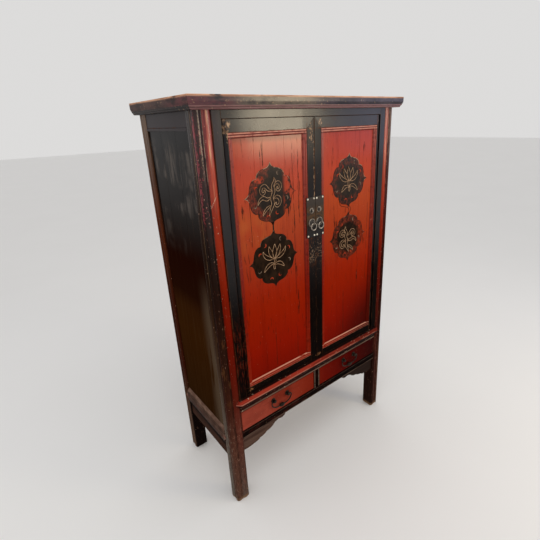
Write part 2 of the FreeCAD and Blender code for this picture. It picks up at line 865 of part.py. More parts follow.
def bail():
    """Left bail: two pins through the eyes, a round sweep below them and a knop at the middle."""
    middle, y, z = bail_place()
    half = bail_post_spacing / 2
    eye_half = bail_ball_radius + bail_collar_gap
    start = half - eye_half
    turn = half + eye_half
    out = turn + bail_turn_radius
    low_start = z - bail_turn_radius
    low = low_start - bail_sweep_radius
    low_turn = out - bail_sweep_radius
    diagonal = math.sqrt(2) / 2

    def at(x, level):
        return Vector(middle + x, y, level)

    def arc_point(x, level, radius, side, upward):
        return at(side * (x + radius * diagonal), level + upward * radius * diagonal)

    path = Part.Wire([
        Part.makeLine(at(-start, z), at(-turn, z)),
        Part.Arc(at(-turn, z), arc_point(turn, low_start, bail_turn_radius, -1, 1),
                 at(-out, low_start)).toShape(),
        Part.Arc(at(-out, low_start), arc_point(low_turn, low_start, bail_sweep_radius, -1, -1),
                 at(-low_turn, low)).toShape(),
        Part.makeLine(at(-low_turn, low), at(low_turn, low)),
        Part.Arc(at(low_turn, low), arc_point(low_turn, low_start, bail_sweep_radius, 1, -1),
                 at(out, low_start)).toShape(),
        Part.Arc(at(out, low_start), arc_point(turn, low_start, bail_turn_radius, 1, 1),
                 at(turn, z)).toShape(),
        Part.makeLine(at(turn, z), at(start, z)),
    ])
    section = Part.Wire([Part.makeCircle(bail_wire, at(-start, z), Vector(1, 0, 0))])
    wire = path.makePipeShell([section], True, False)
    half_knop = bail_knop_length / 2
    outline = Part.Wire([
        Part.makeLine(at(-half_knop, low), at(half_knop, low)),
        Part.makeLine(at(half_knop, low), at(half_knop, low + bail_wire)),
        Part.Arc(at(half_knop, low + bail_wire), at(0, low + bail_knop_radius),
                 at(-half_knop, low + bail_wire)).toShape(),
        Part.makeLine(at(-half_knop, low + bail_wire), at(-half_knop, low)),
    ])
    knop = Part.Face(outline).revolve(at(0, low), Vector(1, 0, 0), 360)
    return wire.fuse(knop).removeSplitter()


def drawer_pieces():
    """All pieces of the left drawer."""
    pieces = drawer_box()
    posts = bail_posts()
    pieces["left_drawer_front"] = pieces["left_drawer_front"].cut(posts)
    pieces["left_bail_posts"] = posts
    pieces["left_drawer_bail"] = bail()
    return pieces


def both_sides(pieces):
    """The given left-hand pieces and their mirror images for the right."""
    result = dict(pieces)
    for name, shape in pieces.items():
        right = name.replace("left", "right", 1)
        if isinstance(shape, list):
            result[right] = [mirrored(one) for one in shape]
        else:
            result[right] = mirrored(shape)
    return result


def carcass():
    """The fixed pieces: frame, panels, rails, aprons and inside boards."""
    front_left = post_blank()
    front_posts = [front_left, mirrored(front_left)]
    rear_posts = [turned_back(post) for post in front_posts]
    blanks = front_posts + rear_posts
    pieces = top_pieces(blanks)
    pieces["front_top_rail"] = lintel()
    pieces["front_bottom_rail"] = bottom_rail()
    pieces["door_sill_rail"] = sill(front_posts)
    pieces["drawer_divider"] = divider()
    pieces["rear_top_rail"] = rear_rail(side_panel_top, top_underside)
    pieces["rear_bottom_rail"] = rear_rail(side_rail_bottom, side_rail_top)
    pieces["back_panel"] = back_panel()
    pieces.update(inside_boards())
    left = {
        "left_jamb_strip": jamb(),
        "left_front_bracket": bracket(),
        "left_side_top_rail": side_top_rail(),
        "left_side_bottom_rail": side_bottom_rail(blanks),
        "left_side_panel": side_panel(),
        "left_side_apron": side_apron(),
    }
    panel = left["left_side_panel"]
    left["left_side_top_rail"] = left["left_side_top_rail"].cut(panel)
    left["left_side_bottom_rail"] = left["left_side_bottom_rail"].cut(panel)
    pieces.update(both_sides(left))
    for name in ("rear_top_rail", "rear_bottom_rail"):
        pieces[name] = pieces[name].cut(pieces["back_panel"])
    joined = [shape for name, shape in pieces.items() if not name.startswith("top_")]
    names = ("post_front_left", "post_front_right", "post_rear_left", "post_rear_right")
    for name, blank in zip(names, blanks):
        pieces[name] = blank.cut(joined)
    return pieces


def all_pieces():
    """Every piece by its node's name."""
    pieces = carcass()
    pieces.update(both_sides(door_pieces()))
    pieces.update(both_sides(drawer_pieces()))
    return pieces


def save(pieces):
    """Write one STEP file per node; a group of pieces becomes one compound."""
    os.makedirs("parts", exist_ok=True)
    for name, shape in pieces.items():
        solids = shape if isinstance(shape, list) else shape.Solids
        node = solids[0] if len(solids) == 1 else Part.makeCompound(solids)
        node.exportStep("parts/" + name + ".step")


save(all_pieces())
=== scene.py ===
import math
import bpy
from mathutils import Matrix, Vector


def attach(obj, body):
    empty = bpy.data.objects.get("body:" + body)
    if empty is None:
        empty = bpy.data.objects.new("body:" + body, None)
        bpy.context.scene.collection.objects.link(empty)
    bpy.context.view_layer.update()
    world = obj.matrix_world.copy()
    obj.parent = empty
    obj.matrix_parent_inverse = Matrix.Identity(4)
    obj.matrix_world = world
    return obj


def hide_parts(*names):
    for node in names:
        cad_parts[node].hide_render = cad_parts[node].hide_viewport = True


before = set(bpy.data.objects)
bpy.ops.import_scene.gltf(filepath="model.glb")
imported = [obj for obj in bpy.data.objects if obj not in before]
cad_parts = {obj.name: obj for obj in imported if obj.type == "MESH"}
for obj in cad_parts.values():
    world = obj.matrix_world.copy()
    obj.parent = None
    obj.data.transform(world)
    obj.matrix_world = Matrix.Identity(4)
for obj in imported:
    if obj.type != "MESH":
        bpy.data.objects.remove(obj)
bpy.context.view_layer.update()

# A two-door lacquered cabinet on four lobed posts. Working sizes are in millimetres, in the frame
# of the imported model: +X to the right, the doors face -Y, +Z up, the floor at 0.
MM = 0.001

# Body
POST_OUT = 525.0
POST_IN = 461.0
POST_WIDTH = 64
LOBE = 32
LOBE_TURN = 25
SET_IN = 5
FOOT = 4
FRONT = -233.5
FACE = -235.5
REAR = 266.5
UNDER_TOP = 1755.0
TOP = 1800.0

# Top frame
TOP_OUT_X = 554.0
TOP_OUT_Y = -266.5
TOP_WIDTH = 110.0
TOP_FLAT = 1785.0
TOP_ROUND = 1768.5
TOP_REED = 6.75
TOP_BOARD_LOW = 1780.0
TOP_SEAMS = (-42.0, 71.0)

# Front rails
LINTEL_LOW = 1726.0
LINTEL_BACK = -175.5
SILL_TOP = 579.0
SILL_RIDGE = 558.0
SILL_NOSE_LOW = 517.0
SILL_LOW = 505.0
SILL_TIP = -253.5
SILL_END = 483
SILL_POINT = 18
SILL_TAPER = 41
SILL_BACK = -187.5
NOSE_BACK = -228.5
RAIL_FACE = -229.5
RAIL_BACK = -193.5
RAIL_TOP = 400.0
RAIL_LOW = 357.0
BEAD = 12.0
JAMB_IN = 425.5
JAMB_BACK = -199.5

# Brackets under the bottom rail; their cusps as shares of length and height: along, down, bow
BRACKET_LENGTH = 258.0
BRACKET_HEIGHT = 78.0
BRACKET_FRONT = -221.5
BRACKET_BACK = -207.5
BRACKET_CUSPS = (
    (0.24, 0.98, -0.04), (0.38, 0.83, -0.05), (0.53, 0.65, -0.05), (0.7, 0.44, -0.06), (0.84, 0.29, 0.05),
    (0.98, 0.21, -0.07),
)

# Sides and back
SIDE_PANEL_TOP = 1691.0
SIDE_PANEL_LOW = 415.0
SIDE_RAIL_LOW = 335.0
SIDE_BAND = 400.0
SIDE_FRONT = -169.5
SIDE_REAR = 202.5
SIDE_TOP_RAIL = (-519, -485)
SIDE_PANEL = (-515, -503)
SIDE_LOW_RAIL = (-516, -491)
SIDE_APRON = (-516, -502)
SIDE_NOSE_BACK = -520
SIDE_NOSE = 20
SIDE_SEAMS = (-52.0, 84.0)
APRON_LOW = 247.0
TONGUE = 8
BACK_RAIL = (226.5, 260.5)
BACK_BOARDS = (244.5, 256.5)
BACK_SEAMS = (-262.0, -71.0, 118.0, 301.0)

# Left door
HINGE_EDGE = -424.0
MEETING_EDGE = -1.0
DOOR_LOW = 581.0
DOOR_TOP = 1724.5
DOOR_BACK = -203.5
PANEL_FACE = -224.5
PANEL_BACK = -214.5
PIVOT_X = -408.0
PIVOT_Y = -219.5
PIN = 9.0
PIN_HOLE = 9.3
PIN_LOW = 20
PIN_TOP = 19.3
PIN_HOLE_LOW = 18.2
PIN_HOLE_TOP = 18
HINGE_ROUND = 16
FLAT_LEFT = -405.0
FLAT_RIGHT = -40.0
FLAT_LOW = 615.0
FLAT_TOP = 1680.5
MOULDING = 20.0
IN_LEFT = FLAT_LEFT + MOULDING
IN_RIGHT = FLAT_RIGHT - MOULDING
IN_LOW = FLAT_LOW + MOULDING
IN_TOP = FLAT_TOP - MOULDING
PANEL_SEAMS = (-296.0, -152.0)

# Medallions on the door panels
MEDALLION_X = -225.5
MEDALLION_UPPER = 1442.0
MEDALLION_LOWER = 1172.0
PAINT_FACE = PANEL_FACE - 0.4

# Fittings of the left door
PLATE_OUT = -51.0
PLATE_LOW = 1225.0
PLATE_TOP = 1403.0
PLATE_FACE = -237.5
NAIL_IN = 7
KNOB_X = -22.0
STAPLE_Z = 1345.0
BOSS_Z = 1291.0
RING_Y = -250.2
RING_Z = 1290.2
RING_RADIUS = 15.0
RING_WIRE = 2.25
STAPLE_RADIUS = 7.5
STAPLE_WIRE = 2.5
EYE_RADIUS = 5.4
EYE_WIRE = 1.9

# Left drawer
DRAWER_OUT = -459.8
DRAWER_IN = -21.2
DRAWER_FACE = -230.5
DRAWER_FRONT_BACK = -210.5
DRAWER_LOW = 400.5
DRAWER_TOP = 503.8
BAIL_X = -240.5
BAIL_Y = -242.5
BAIL_Z = 472.0
BAIL_SPACING = 83.0
BAIL_DROP = 40.0
BAIL_WIRE = 3.0

# Camera, solved from the photograph: place in metres, turn in degrees, picture in pixels, film in mm
CAMERA_PLACE = (-1.1066, -1.4229, 1.7109)
CAMERA_TURN = (38.904, -20.636, -2.139)
FOCAL = 376.219
CENTRE = (290.74, 262.876)
PICTURE = 540
FILM = 36


# ---------------------------------------------------------------- working with meshes

def put_down():
    """Nothing selected."""
    bpy.ops.object.select_all(action="DESELECT")


def take(*pieces):
    """Selects these pieces alone; the first is the active one."""
    put_down()
    for piece in pieces:
        piece.select_set(True)
    bpy.context.view_layer.objects.active = pieces[0]
    return pieces[0]


def at(axis, level, a, b):
    """A point in metres of a flat outline at a level along the axis it is swept on."""
    point = {"x": (level, a, b), "y": (a, level, b), "z": (a, b, level)}[axis]
    return Vector(point) * MM


def bowed(points, steps=8):
    """An outline with its arcs divided: a third value bows the run that ends there."""
    drawn = []
    here = points[0]
    for point in list(points[1:]) + [points[0][:2]]:
        if len(point) == 3 and point[2]:
            run = math.hypot(point[0] - here[0], point[1] - here[1])
            normal = ((here[1] - point[1]) / run, (point[0] - here[0]) / run)
            half = run / 2
            radius = (half * half + point[2] ** 2) / (2 * abs(point[2]))
            turn = math.asin(min(1, half / radius))
            sign = 1 if point[2] > 0 else -1
            for step in range(1, steps):
                angle = turn * (2 * step / steps - 1)
                along = half + radius * math.sin(angle)
                rise = sign * (abs(point[2]) - radius * (1 - math.cos(angle)))
                share = along / run
                drawn.append((
                    here[0] + (point[0] - here[0]) * share + normal[0] * rise,
                    here[1] + (point[1] - here[1]) * share + normal[1] * rise,
                ))
        drawn.append(tuple(point[:2]))
        here = point
    return drawn


def chain(points):
    """A line of edges through points in metres, drawn point by point; left in edit mode, all selected."""
    put_down()
    bpy.ops.mesh.primitive_plane_add(size=MM, location=(0, 0, 0))
    piece = bpy.context.object
    bpy.ops.object.mode_set(mode="EDIT")
    bpy.ops.mesh.merge(type="CENTER")
    bpy.ops.transform.translate(value=points[0])
    for here, there in zip(points, points[1:]):
        bpy.ops.mesh.extrude_vertices_move(TRANSFORM_OT_translate={"value": there - here})
    bpy.ops.mesh.select_all(action="SELECT")
    return piece


def swept(axis, low, high, outline, steps=8):
    """A closed outline traced, filled and extruded straight along an axis."""
    points = [at(axis, low, a, b) for a, b in bowed(outline, steps)]
    piece = chain(points)
    bpy.ops.mesh.remove_doubles(threshold=0.00001)
    bpy.ops.mesh.select_all(action="SELECT")
    bpy.ops.mesh.edge_face_add()
    travel = at(axis, high, 0, 0) - at(axis, low, 0, 0)
    bpy.ops.mesh.extrude_region_move(TRANSFORM_OT_translate={"value": travel})
    bpy.ops.mesh.select_all(action="SELECT")
    bpy.ops.mesh.normals_make_consistent(inside=False)
    bpy.ops.object.mode_set(mode="OBJECT")
    return piece


def board(x0, x1, y0, y1, z0, z1):
    """A board between two corners, its place in its mesh."""
    put_down()
    middle = Vector((x0 + x1, y0 + y1, z0 + z1)) * MM / 2
    size = Vector((x1 - x0, y1 - y0, z1 - z0)) * MM
    bpy.ops.mesh.primitive_cube_add(size=1, location=middle, scale=size)
    settle()
    return bpy.context.object


def settle():
    """Moves the selected objects' place, turn and size into their meshes."""
    bpy.ops.object.transform_apply(location=True, rotation=True, scale=True)


def sawn(piece, through, normal):
    """Saws a piece by a plane and drops the side that the normal points to."""
    take(piece)
    bpy.ops.object.mode_set(mode="EDIT")
    bpy.ops.mesh.select_all(action="SELECT")
    bpy.ops.mesh.bisect(
        plane_co=Vector(through) * MM, plane_no=Vector(normal), use_fill=True, clear_outer=True
    )
    bpy.ops.mesh.select_all(action="SELECT")
    bpy.ops.mesh.normals_make_consistent(inside=False)
    bpy.ops.object.mode_set(mode="OBJECT")
    return piece


def applied(piece, kind, **settings):
    """Adds one modifier and applies it."""
    take(piece)
    modifier = piece.modifiers.new(kind.title(), kind)
    for name, value in settings.items():
        setattr(modifier, name, value)
    bpy.ops.object.modifier_apply(modifier=modifier.name)
    return piece


def softened(piece, width=0.8, segments=2, angle=40, worn=None):
    """Breaks the sharp edges; the broken edges may take the finish with this number."""
    settings = dict(
        width=width * MM, segments=segments, limit_method="ANGLE", angle_limit=math.radians(angle)
    )
    if worn is not None:
        settings["material"] = worn
    return applied(piece, "BEVEL", **settings)


def trimmed(piece, tool, operation="DIFFERENCE"):
    """Cuts a piece with a tool, or keeps what lies inside it; the tool is used up."""
    applied(piece, "BOOLEAN", object=tool, operation=operation, solver="EXACT")
    bpy.data.objects.remove(tool)
    return piece


def joined(*pieces):
    """Several meshes as one piece."""
    take(*pieces)
    if len(pieces) > 1:
        bpy.ops.object.join()
    return pieces[0]


def copied(piece, flip=False):
    """A copy with its own mesh; flipped, it is the same piece for the right-hand side."""
    twin = piece.copy()
    twin.data = piece.data.copy()
    bpy.context.collection.objects.link(twin)
    if flip:
        twin.data.transform(Matrix.Scale(-1, 4, (1, 0, 0)))
        take(twin)
        bpy.ops.object.mode_set(mode="EDIT")
        bpy.ops.mesh.select_all(action="SELECT")
        bpy.ops.mesh.remove_doubles(threshold=0.000001)
        bpy.ops.mesh.normals_make_consistent(inside=False)
        bpy.ops.object.mode_set(mode="OBJECT")
    return twin


def turned(outline, x, y, z, axis="y", steps=28):
    """A lathe piece about y or x through a place: the outline gives distance away and place along."""
    if axis == "y":
        piece = chain([Vector((x + away, y + along, z)) * MM for away, along in outline])
    else:
        piece = chain([Vector((x + along, y, z + away)) * MM for away, along in outline])
    bpy.ops.mesh.spin(
        steps=steps, angle=2 * math.pi, center=Vector((x, y, z)) * MM,
        axis=(0, 1, 0) if axis == "y" else (1, 0, 0),
    )
    bpy.ops.mesh.select_all(action="SELECT")
    bpy.ops.mesh.remove_doubles(threshold=0.00002)
    bpy.ops.mesh.normals_make_consistent(inside=False)
    bpy.ops.object.mode_set(mode="OBJECT")
    return piece


def wire(points, radius, closed=False, sides=3, press=None):
    """A wire through points in millimetres, with one radius or one for each; pressed towards a level in y."""
    places = [Vector(point) * MM for point in points]
    piece = chain(places)
    if closed:
        bpy.ops.mesh.edge_face_add()
        bpy.ops.mesh.delete(type="ONLY_FACE")
    bpy.ops.object.mode_set(mode="OBJECT")
    bpy.ops.object.convert(target="CURVE")
    piece = bpy.context.object
    line = piece.data
    line.dimensions = "3D"
    line.bevel_depth = MM
    line.bevel_resolution = sides
    line.use_fill_caps = not closed
    radii = radius if isinstance(radius, (list, tuple)) else [radius] * len(points)
    for spline in line.splines:
        for spot in spline.points:
            near = min(range(len(places)), key=lambda k: (places[k] - spot.co.to_3d()).length)
            spot.radius = radii[near]
    bpy.ops.object.convert(target="MESH")
    piece = bpy.context.object
    if press is not None:
        middle, share = press
        for vertex in piece.data.vertices:
            vertex.co.y = middle * MM + (vertex.co.y - middle * MM) * share
    return piece


def smooth_line(points, per=6, closed=False):
    """A smooth line through a few drawn points."""
    count = len(points)
    drawn = []
    last = count if closed else count - 1
    for number in range(last):
        if closed:
            a, b, c, d = (Vector(points[(number + k) % count]) for k in (-1, 0, 1, 2))
        else:
            a, b, c, d = (Vector(points[min(max(number + k, 0), count - 1)]) for k in (-1, 0, 1, 2))
        for step in range(per):
            t = step / per
            drawn.append(tuple(
                0.5 * (2 * b + (c - a) * t + (2 * a - 5 * b + 4 * c - d) * t * t
                       + (3 * b - a - 3 * c + d) * t ** 3)
            ))
    if not closed:
        drawn.append(tuple(points[-1]))
    return drawn


def finished(piece, looks, number=0):
    """Gives a part the finishes of its piece, and all its faces the one with this number."""
    for look in looks:
        piece.data.materials.append(LOOKS[look])
    for face in piece.data.polygons:
        face.material_index = number
    return piece


def boarded(seams, gap, soft, cut):
    """Boards edge to edge between the seams, with a small gap, joined as one piece."""
    return joined(*(softened(cut(low + gap, high - gap), soft) for low, high in zip(seams, seams[1:])))


def deliver(piece, name, body, looks, node=None):
    """Names a finished piece, gives it its finishes and says what it rides on and stands for."""
    piece.name = name
    piece.data.name = name
    if not piece.data.materials:
        finished(piece, looks)
    take(piece)
    bpy.ops.object.shade_smooth_by_angle(angle=math.radians(32))
    applied(piece, "WEIGHTED_NORMAL", keep_sharp=True)
    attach(piece, body)
    if node:
        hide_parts(node)
    return piece


def both(left, name, body, looks, node):
    """Delivers a left piece and its mirrored copy; a * in the names stands for the side."""
    for side, piece in {"left": left, "right": copied(left, flip=True)}.items():
        name_here, body_here, node_here = (word.replace("*", side) for word in (name, body, node))
        deliver(piece, name_here, body_here, looks, node_here)


# ---------------------------------------------------------------- finishes

class Value:
    """A node's output that Python arithmetic works on."""

    def __init__(self, look, socket):
        self.look = look
        self.socket = socket

    def sum(self, operation, first, second=0.0):
        return self.look.node("Math", {"operation": operation}, {0: first, 1: second})

    def __add__(self, other):
        return self.sum("ADD", self, other)

    def __sub__(self, other):
        return self.sum("SUBTRACT", self, other)

    def __mul__(self, other):
        return self.sum("MULTIPLY", self, other)

    def __truediv__(self, other):
        return self.sum("DIVIDE", self, other)

    def __rsub__(self, other):
        return self.sum("SUBTRACT", other, self)

    __radd__ = __add__
    __rmul__ = __mul__

    def size(self):
        return self.sum("ABSOLUTE", self)

    def under(self, other):
        return self.sum("MINIMUM", self, other)

    def over(self, other):
        return self.sum("MAXIMUM", self, other)

    def rise(self, low, high):
        """0 below the first level and 1 past the second, or the other way when they are swapped."""
        settings = {"interpolation_type": "SMOOTHSTEP"}
        return self.look.node(
            "MapRange", settings, {"Value": self, "From Min": low, "From Max": high}
        )

    def near(self, middle, reach):
        """1 at the middle level and 0 past the reach."""
        return 1 - ((self - middle).size() / reach).under(1)


class Look:
    """A procedural finish in the object's own coordinates, given in millimetres."""

    def __init__(self, name, specular=0.02, coat_roughness=0.18):
        self.material = bpy.data.materials.new(name)
        self.material.use_nodes = True
        self.tree = self.material.node_tree
        self.shader = next(n for n in self.tree.nodes if n.type == "BSDF_PRINCIPLED")
        self.shader.inputs["Specular IOR Level"].default_value = specular
        self.shader.inputs["Coat Roughness"].default_value = coat_roughness
        self.place = self.node("TexCoord", {}, {}, "Object")
        axes = [self.node("SeparateXYZ", {}, {0: self.place}, axis) for axis in "XYZ"]
        self.x, self.y, self.z = (axis * 1000 for axis in axes)

    def node(self, kind, settings, inputs, output=0):
        """One node: its type, its settings, then the values or links of its sockets."""
        made = self.tree.nodes.new("ShaderNode" + kind)
        for name, value in settings.items():
            if name == "stops":
                ramp = made.color_ramp
                for number, (place, colour) in enumerate(value):
                    stop = ramp.elements[number] if number < 2 else ramp.elements.new(place)
                    stop.position = place
                    stop.color = (*colour, 1)
            else:
                setattr(made, name, value)
        for name, value in inputs.items():
            if isinstance(name, str):
                socket = next(s for s in made.inputs if s.enabled and s.name == name)
            else:
                socket = made.inputs[name]
            if isinstance(value, Value):
                self.tree.links.new(value.socket, socket)
            elif isinstance(value, tuple) and socket.type == "RGBA":
                socket.default_value = (*value, 1)
            else:
                socket.default_value = value
        if isinstance(output, str):
            return Value(self, next(s for s in made.outputs if s.enabled and s.name == output))
        return Value(self, next(s for s in made.outputs if s.enabled))

    def mottle(self, size, stretch=(1, 1, 1), detail=3, rough=0.55, shift=0.0):
        """Soft cloudy variation about 0.5, its size in millimetres, drawn out along the axes."""
        scale = [1000 / (size * share) for share in stretch]
        spot = self.node(
            "Mapping", {}, {"Vector": self.place, "Location": (shift, shift, shift), "Scale": scale}
        )
        return self.node(
            "TexNoise", {}, {"Vector": spot, "Scale": 1.0, "Detail": detail, "Roughness": rough}
        )

    def shades(self, value, *stops):
        """A colour that goes through the stops: a level and a colour each."""
        low, high = stops[0][0], stops[-1][0]
        marks = [((level - low) / (high - low), colour) for level, colour in stops]
        return self.node("ValToRGB", {"stops": marks}, {0: (value - low) / (high - low)})

    def mix(self, share, first, second):
        """The first colour, going over to the second."""
        return self.node(
            "Mix", {"data_type": "RGBA"}, {"Factor": share, "A": first, "B": second}
        )

    def coats(self, colour, *coats):
        """A colour with further coats over it: how much each one covers, and its own colour."""
        for share, coat in coats:
            colour = self.mix(share, colour, coat)
        return colour

    def finish(self, colour, roughness=0.4, height=None, metal=0.0, gloss=0.0):
        """Links the colour, roughness, polish and height in millimetres to the shader."""
        values = {"Base Color": colour, "Roughness": roughness, "Metallic": metal, "Coat Weight": gloss}
        if height is not None:
            values["Normal"] = self.node(
                "Bump", {}, {"Height": height, "Distance": MM, "Strength": 1.0}
            )
        for name, value in values.items():
            socket = self.shader.inputs[name]
            if isinstance(value, Value):
                self.tree.links.new(value.socket, socket)
            elif isinstance(value, tuple):
                socket.default_value = (*value, 1)
            else:
                socket.default_value = value
        return self.material


# Colours, linear
BLACK = (0.0035, 0.0018, 0.0014)
# Painted sheen: the grey that the black lacquer goes to higher up
SHEEN_GREY = (0.0135, 0.012, 0.013)
WORN_BROWN = (0.07, 0.024, 0.01)
TAN = (0.24, 0.14, 0.075)
CREAM = (0.6, 0.42, 0.29)
UMBER = (0.02, 0.0075, 0.0035)

# Worn streaks on the door panels: middle across and up, half width, half height
PANEL_STREAKS = (
    (-262, 1600, 14, 60), (-120, 1515, 20, 70), (-358, 1405, 16, 55), (-345, 1265, 16, 40),
    (-366, 1165, 9, 70),
    (-108, 1100, 12, 80), (-118, 1300, 14, 80), (-140, 1390, 16, 60), (-82, 1450, 10, 170),
    (-100, 900, 9, 140),
    (206, 1307, 9, 22), (136, 1300, 6, 58), (345, 700, 26, 14), (140, 1245, 24, 40), (300, 1000, 9, 160),
    (340, 1130, 10, 60), (330, 1590, 14, 30), (118, 1560, 8, 60),
)

# Fine cracks down the panel boards: across, low, high
PANEL_CRACKS = (
    (-84, 1290, 1660), (-112, 960, 1640), (-257, 1545, 1655), (-113, 640, 800), (-240, 640, 860),
    (-352, 1090, 1235),
    (128, 1240, 1350), (366, 900, 1330), (200, 640, 900), (-330, 1230, 1440),
)


def drawn_out(grain, draw):
    """A stretch along the axis that the grain runs on."""
    return tuple(draw if axis == grain else 1.0 for axis in "xyz")


def streaks(look, size, grain, draw, shift=0.0, detail=4):
    """Fine long variation that runs with the grain."""
    return look.mottle(size, drawn_out(grain, draw), detail, 0.6, shift)


def polish(look, most, low=930, high=1430):
    """How much clear polish is left on the lacquer: dull low down, glossy higher up."""
    return look.z.rise(low, high) * most


def any_of(zones):
    """The strongest of several zones."""
    strongest, *others = zones
    for zone in others:
        strongest = strongest.over(zone)
    return strongest


def lines_of(look, lines):
    """Strongest along any of the lines: an axis, a level (across counts from the middle), a reach."""
    place = {"x": look.x.size(), "y": look.y, "z": look.z}
    return any_of(place[axis].near(level, reach) for axis, level, reach in lines)


def panel_colour(look):
    """Red lacquer of the door panels: pinker at the top through a painted reflection, orange in the middle,
    and deep red low on the right through painted shade.
    """
    fine = streaks(look, 4, "z", 40, 3.1)
    broad = streaks(look, 30, "z", 12, 7.7, 3)
    cloud = look.mottle(150, (1, 1, 1.8), 3)
    # Darker towards the foot: painted shade
    red = look.shades(
        look.z, (620, (0.16, 0.0044, 0.0006)), (760, (0.23, 0.0066, 0.0005)), (1040, (0.275, 0.0135, 0.0008)),
        (1240, (0.32, 0.03, 0.0022)), (1360, (0.37, 0.044, 0.0055)), (1500, (0.425, 0.045, 0.016)),
        (1700, (0.34, 0.029, 0.015)),
    )
    # Painted shade: deep red low on the right
    shade = (look.x.rise(-60, 460) * look.z.rise(1150, 560)).rise(0.02, 0.95)
    glow = look.z.near(1300, 110).rise(0, 0.8) * look.x.near(-310, 130).rise(0, 0.8) * cloud.rise(0.25, 0.55)
    # Painted reflection of a window: paler and pinker across the top of the left door
    painted_reflection = look.z.rise(1560, 1650) * look.x.rise(60, -80) * (0.35 + 0.65 * cloud.rise(0.35, 0.6))
    hair = look.mottle(4.2, (1, 1, 15), 4, 0.7, 15.0)
    zone = any_of(look.x.near(a, w) * look.z.near(b, t) for a, b, w, t in PANEL_STREAKS)
    dark = ((zone * 1.8).under(1) * 0.12 + hair).rise(0.625, 0.685)
    wave = (look.mottle(60, (1, 1, 1.5), 2, 0.5, 2.0) - 0.5) * 9
    line = any_of((look.x + wave).near(x, 1.5) * look.z.rise(low, low + 30) * look.z.rise(high, high - 30)
                  for x, low, high in PANEL_CRACKS)
    dark = dark.over(line.rise(0.02, 0.4) * look.mottle(9, (1, 1, 4), 3, 0.6, 16.0).rise(0.36, 0.48))
    shadow = look.z.rise(IN_TOP - 26, IN_TOP - 4) * look.x.rise(120, -120) * cloud.rise(0.25, 0.5)
    fleck = look.mottle(4, (1, 1, 1.5), 2, 0.5, 9.0).rise(0.74, 0.77)
    red = look.coats(
        red,
        (shade * 0.86, (0.026, 0.0014, 0.0006)),
        (glow * 0.75, (0.43, 0.105, 0.016)),
        (broad.rise(0.5, 0.74) * 0.22, (0.1, 0.0035, 0.0009)),
        (fine.rise(0.5, 0.72) * 0.3, (0.12, 0.005, 0.0012)),
        (painted_reflection * 0.55, (0.5, 0.15, 0.07)),
        (shadow * 0.45, (0.09, 0.045, 0.028)),
        (dark * 0.88, UMBER),
        (fleck * 0.5, CREAM),
    )
    return red, fine, dark


def bare_inside(look, colour, inner):
    """Bare board on the inner side of a panel."""
    grain = look.mottle(7, (1, 1, 20), 5, 0.65, 4.0)
    return look.mix(
        inner, colour, look.mix(grain.rise(0.34, 0.68), (0.13, 0.062, 0.032), (0.06, 0.028, 0.016))
    )


def panel_lacquer():
    """Door panels: worn red lacquer outside, bare board inside."""
    look = Look("door panel lacquer", 0.006, 0.17)
    colour, fine, dark = panel_colour(look)
    inner = look.y.rise(PANEL_FACE + 4, PANEL_FACE + 5)
    colour = bare_inside(look, colour, inner)
    roughness = 0.3 + 0.16 * look.mottle(60, (1, 1, 3)) + dark * 0.25
    height = fine * 0.1 - dark * 0.22 + look.mottle(90, (1, 1, 3), 1) * 0.4
    gloss = polish(look, 0.54) * (1 - dark * 0.7) * (1 - look.x.rise(0, 120) * 0.36) * (1 - inner)
    return look.finish(colour, roughness, height, gloss=gloss)


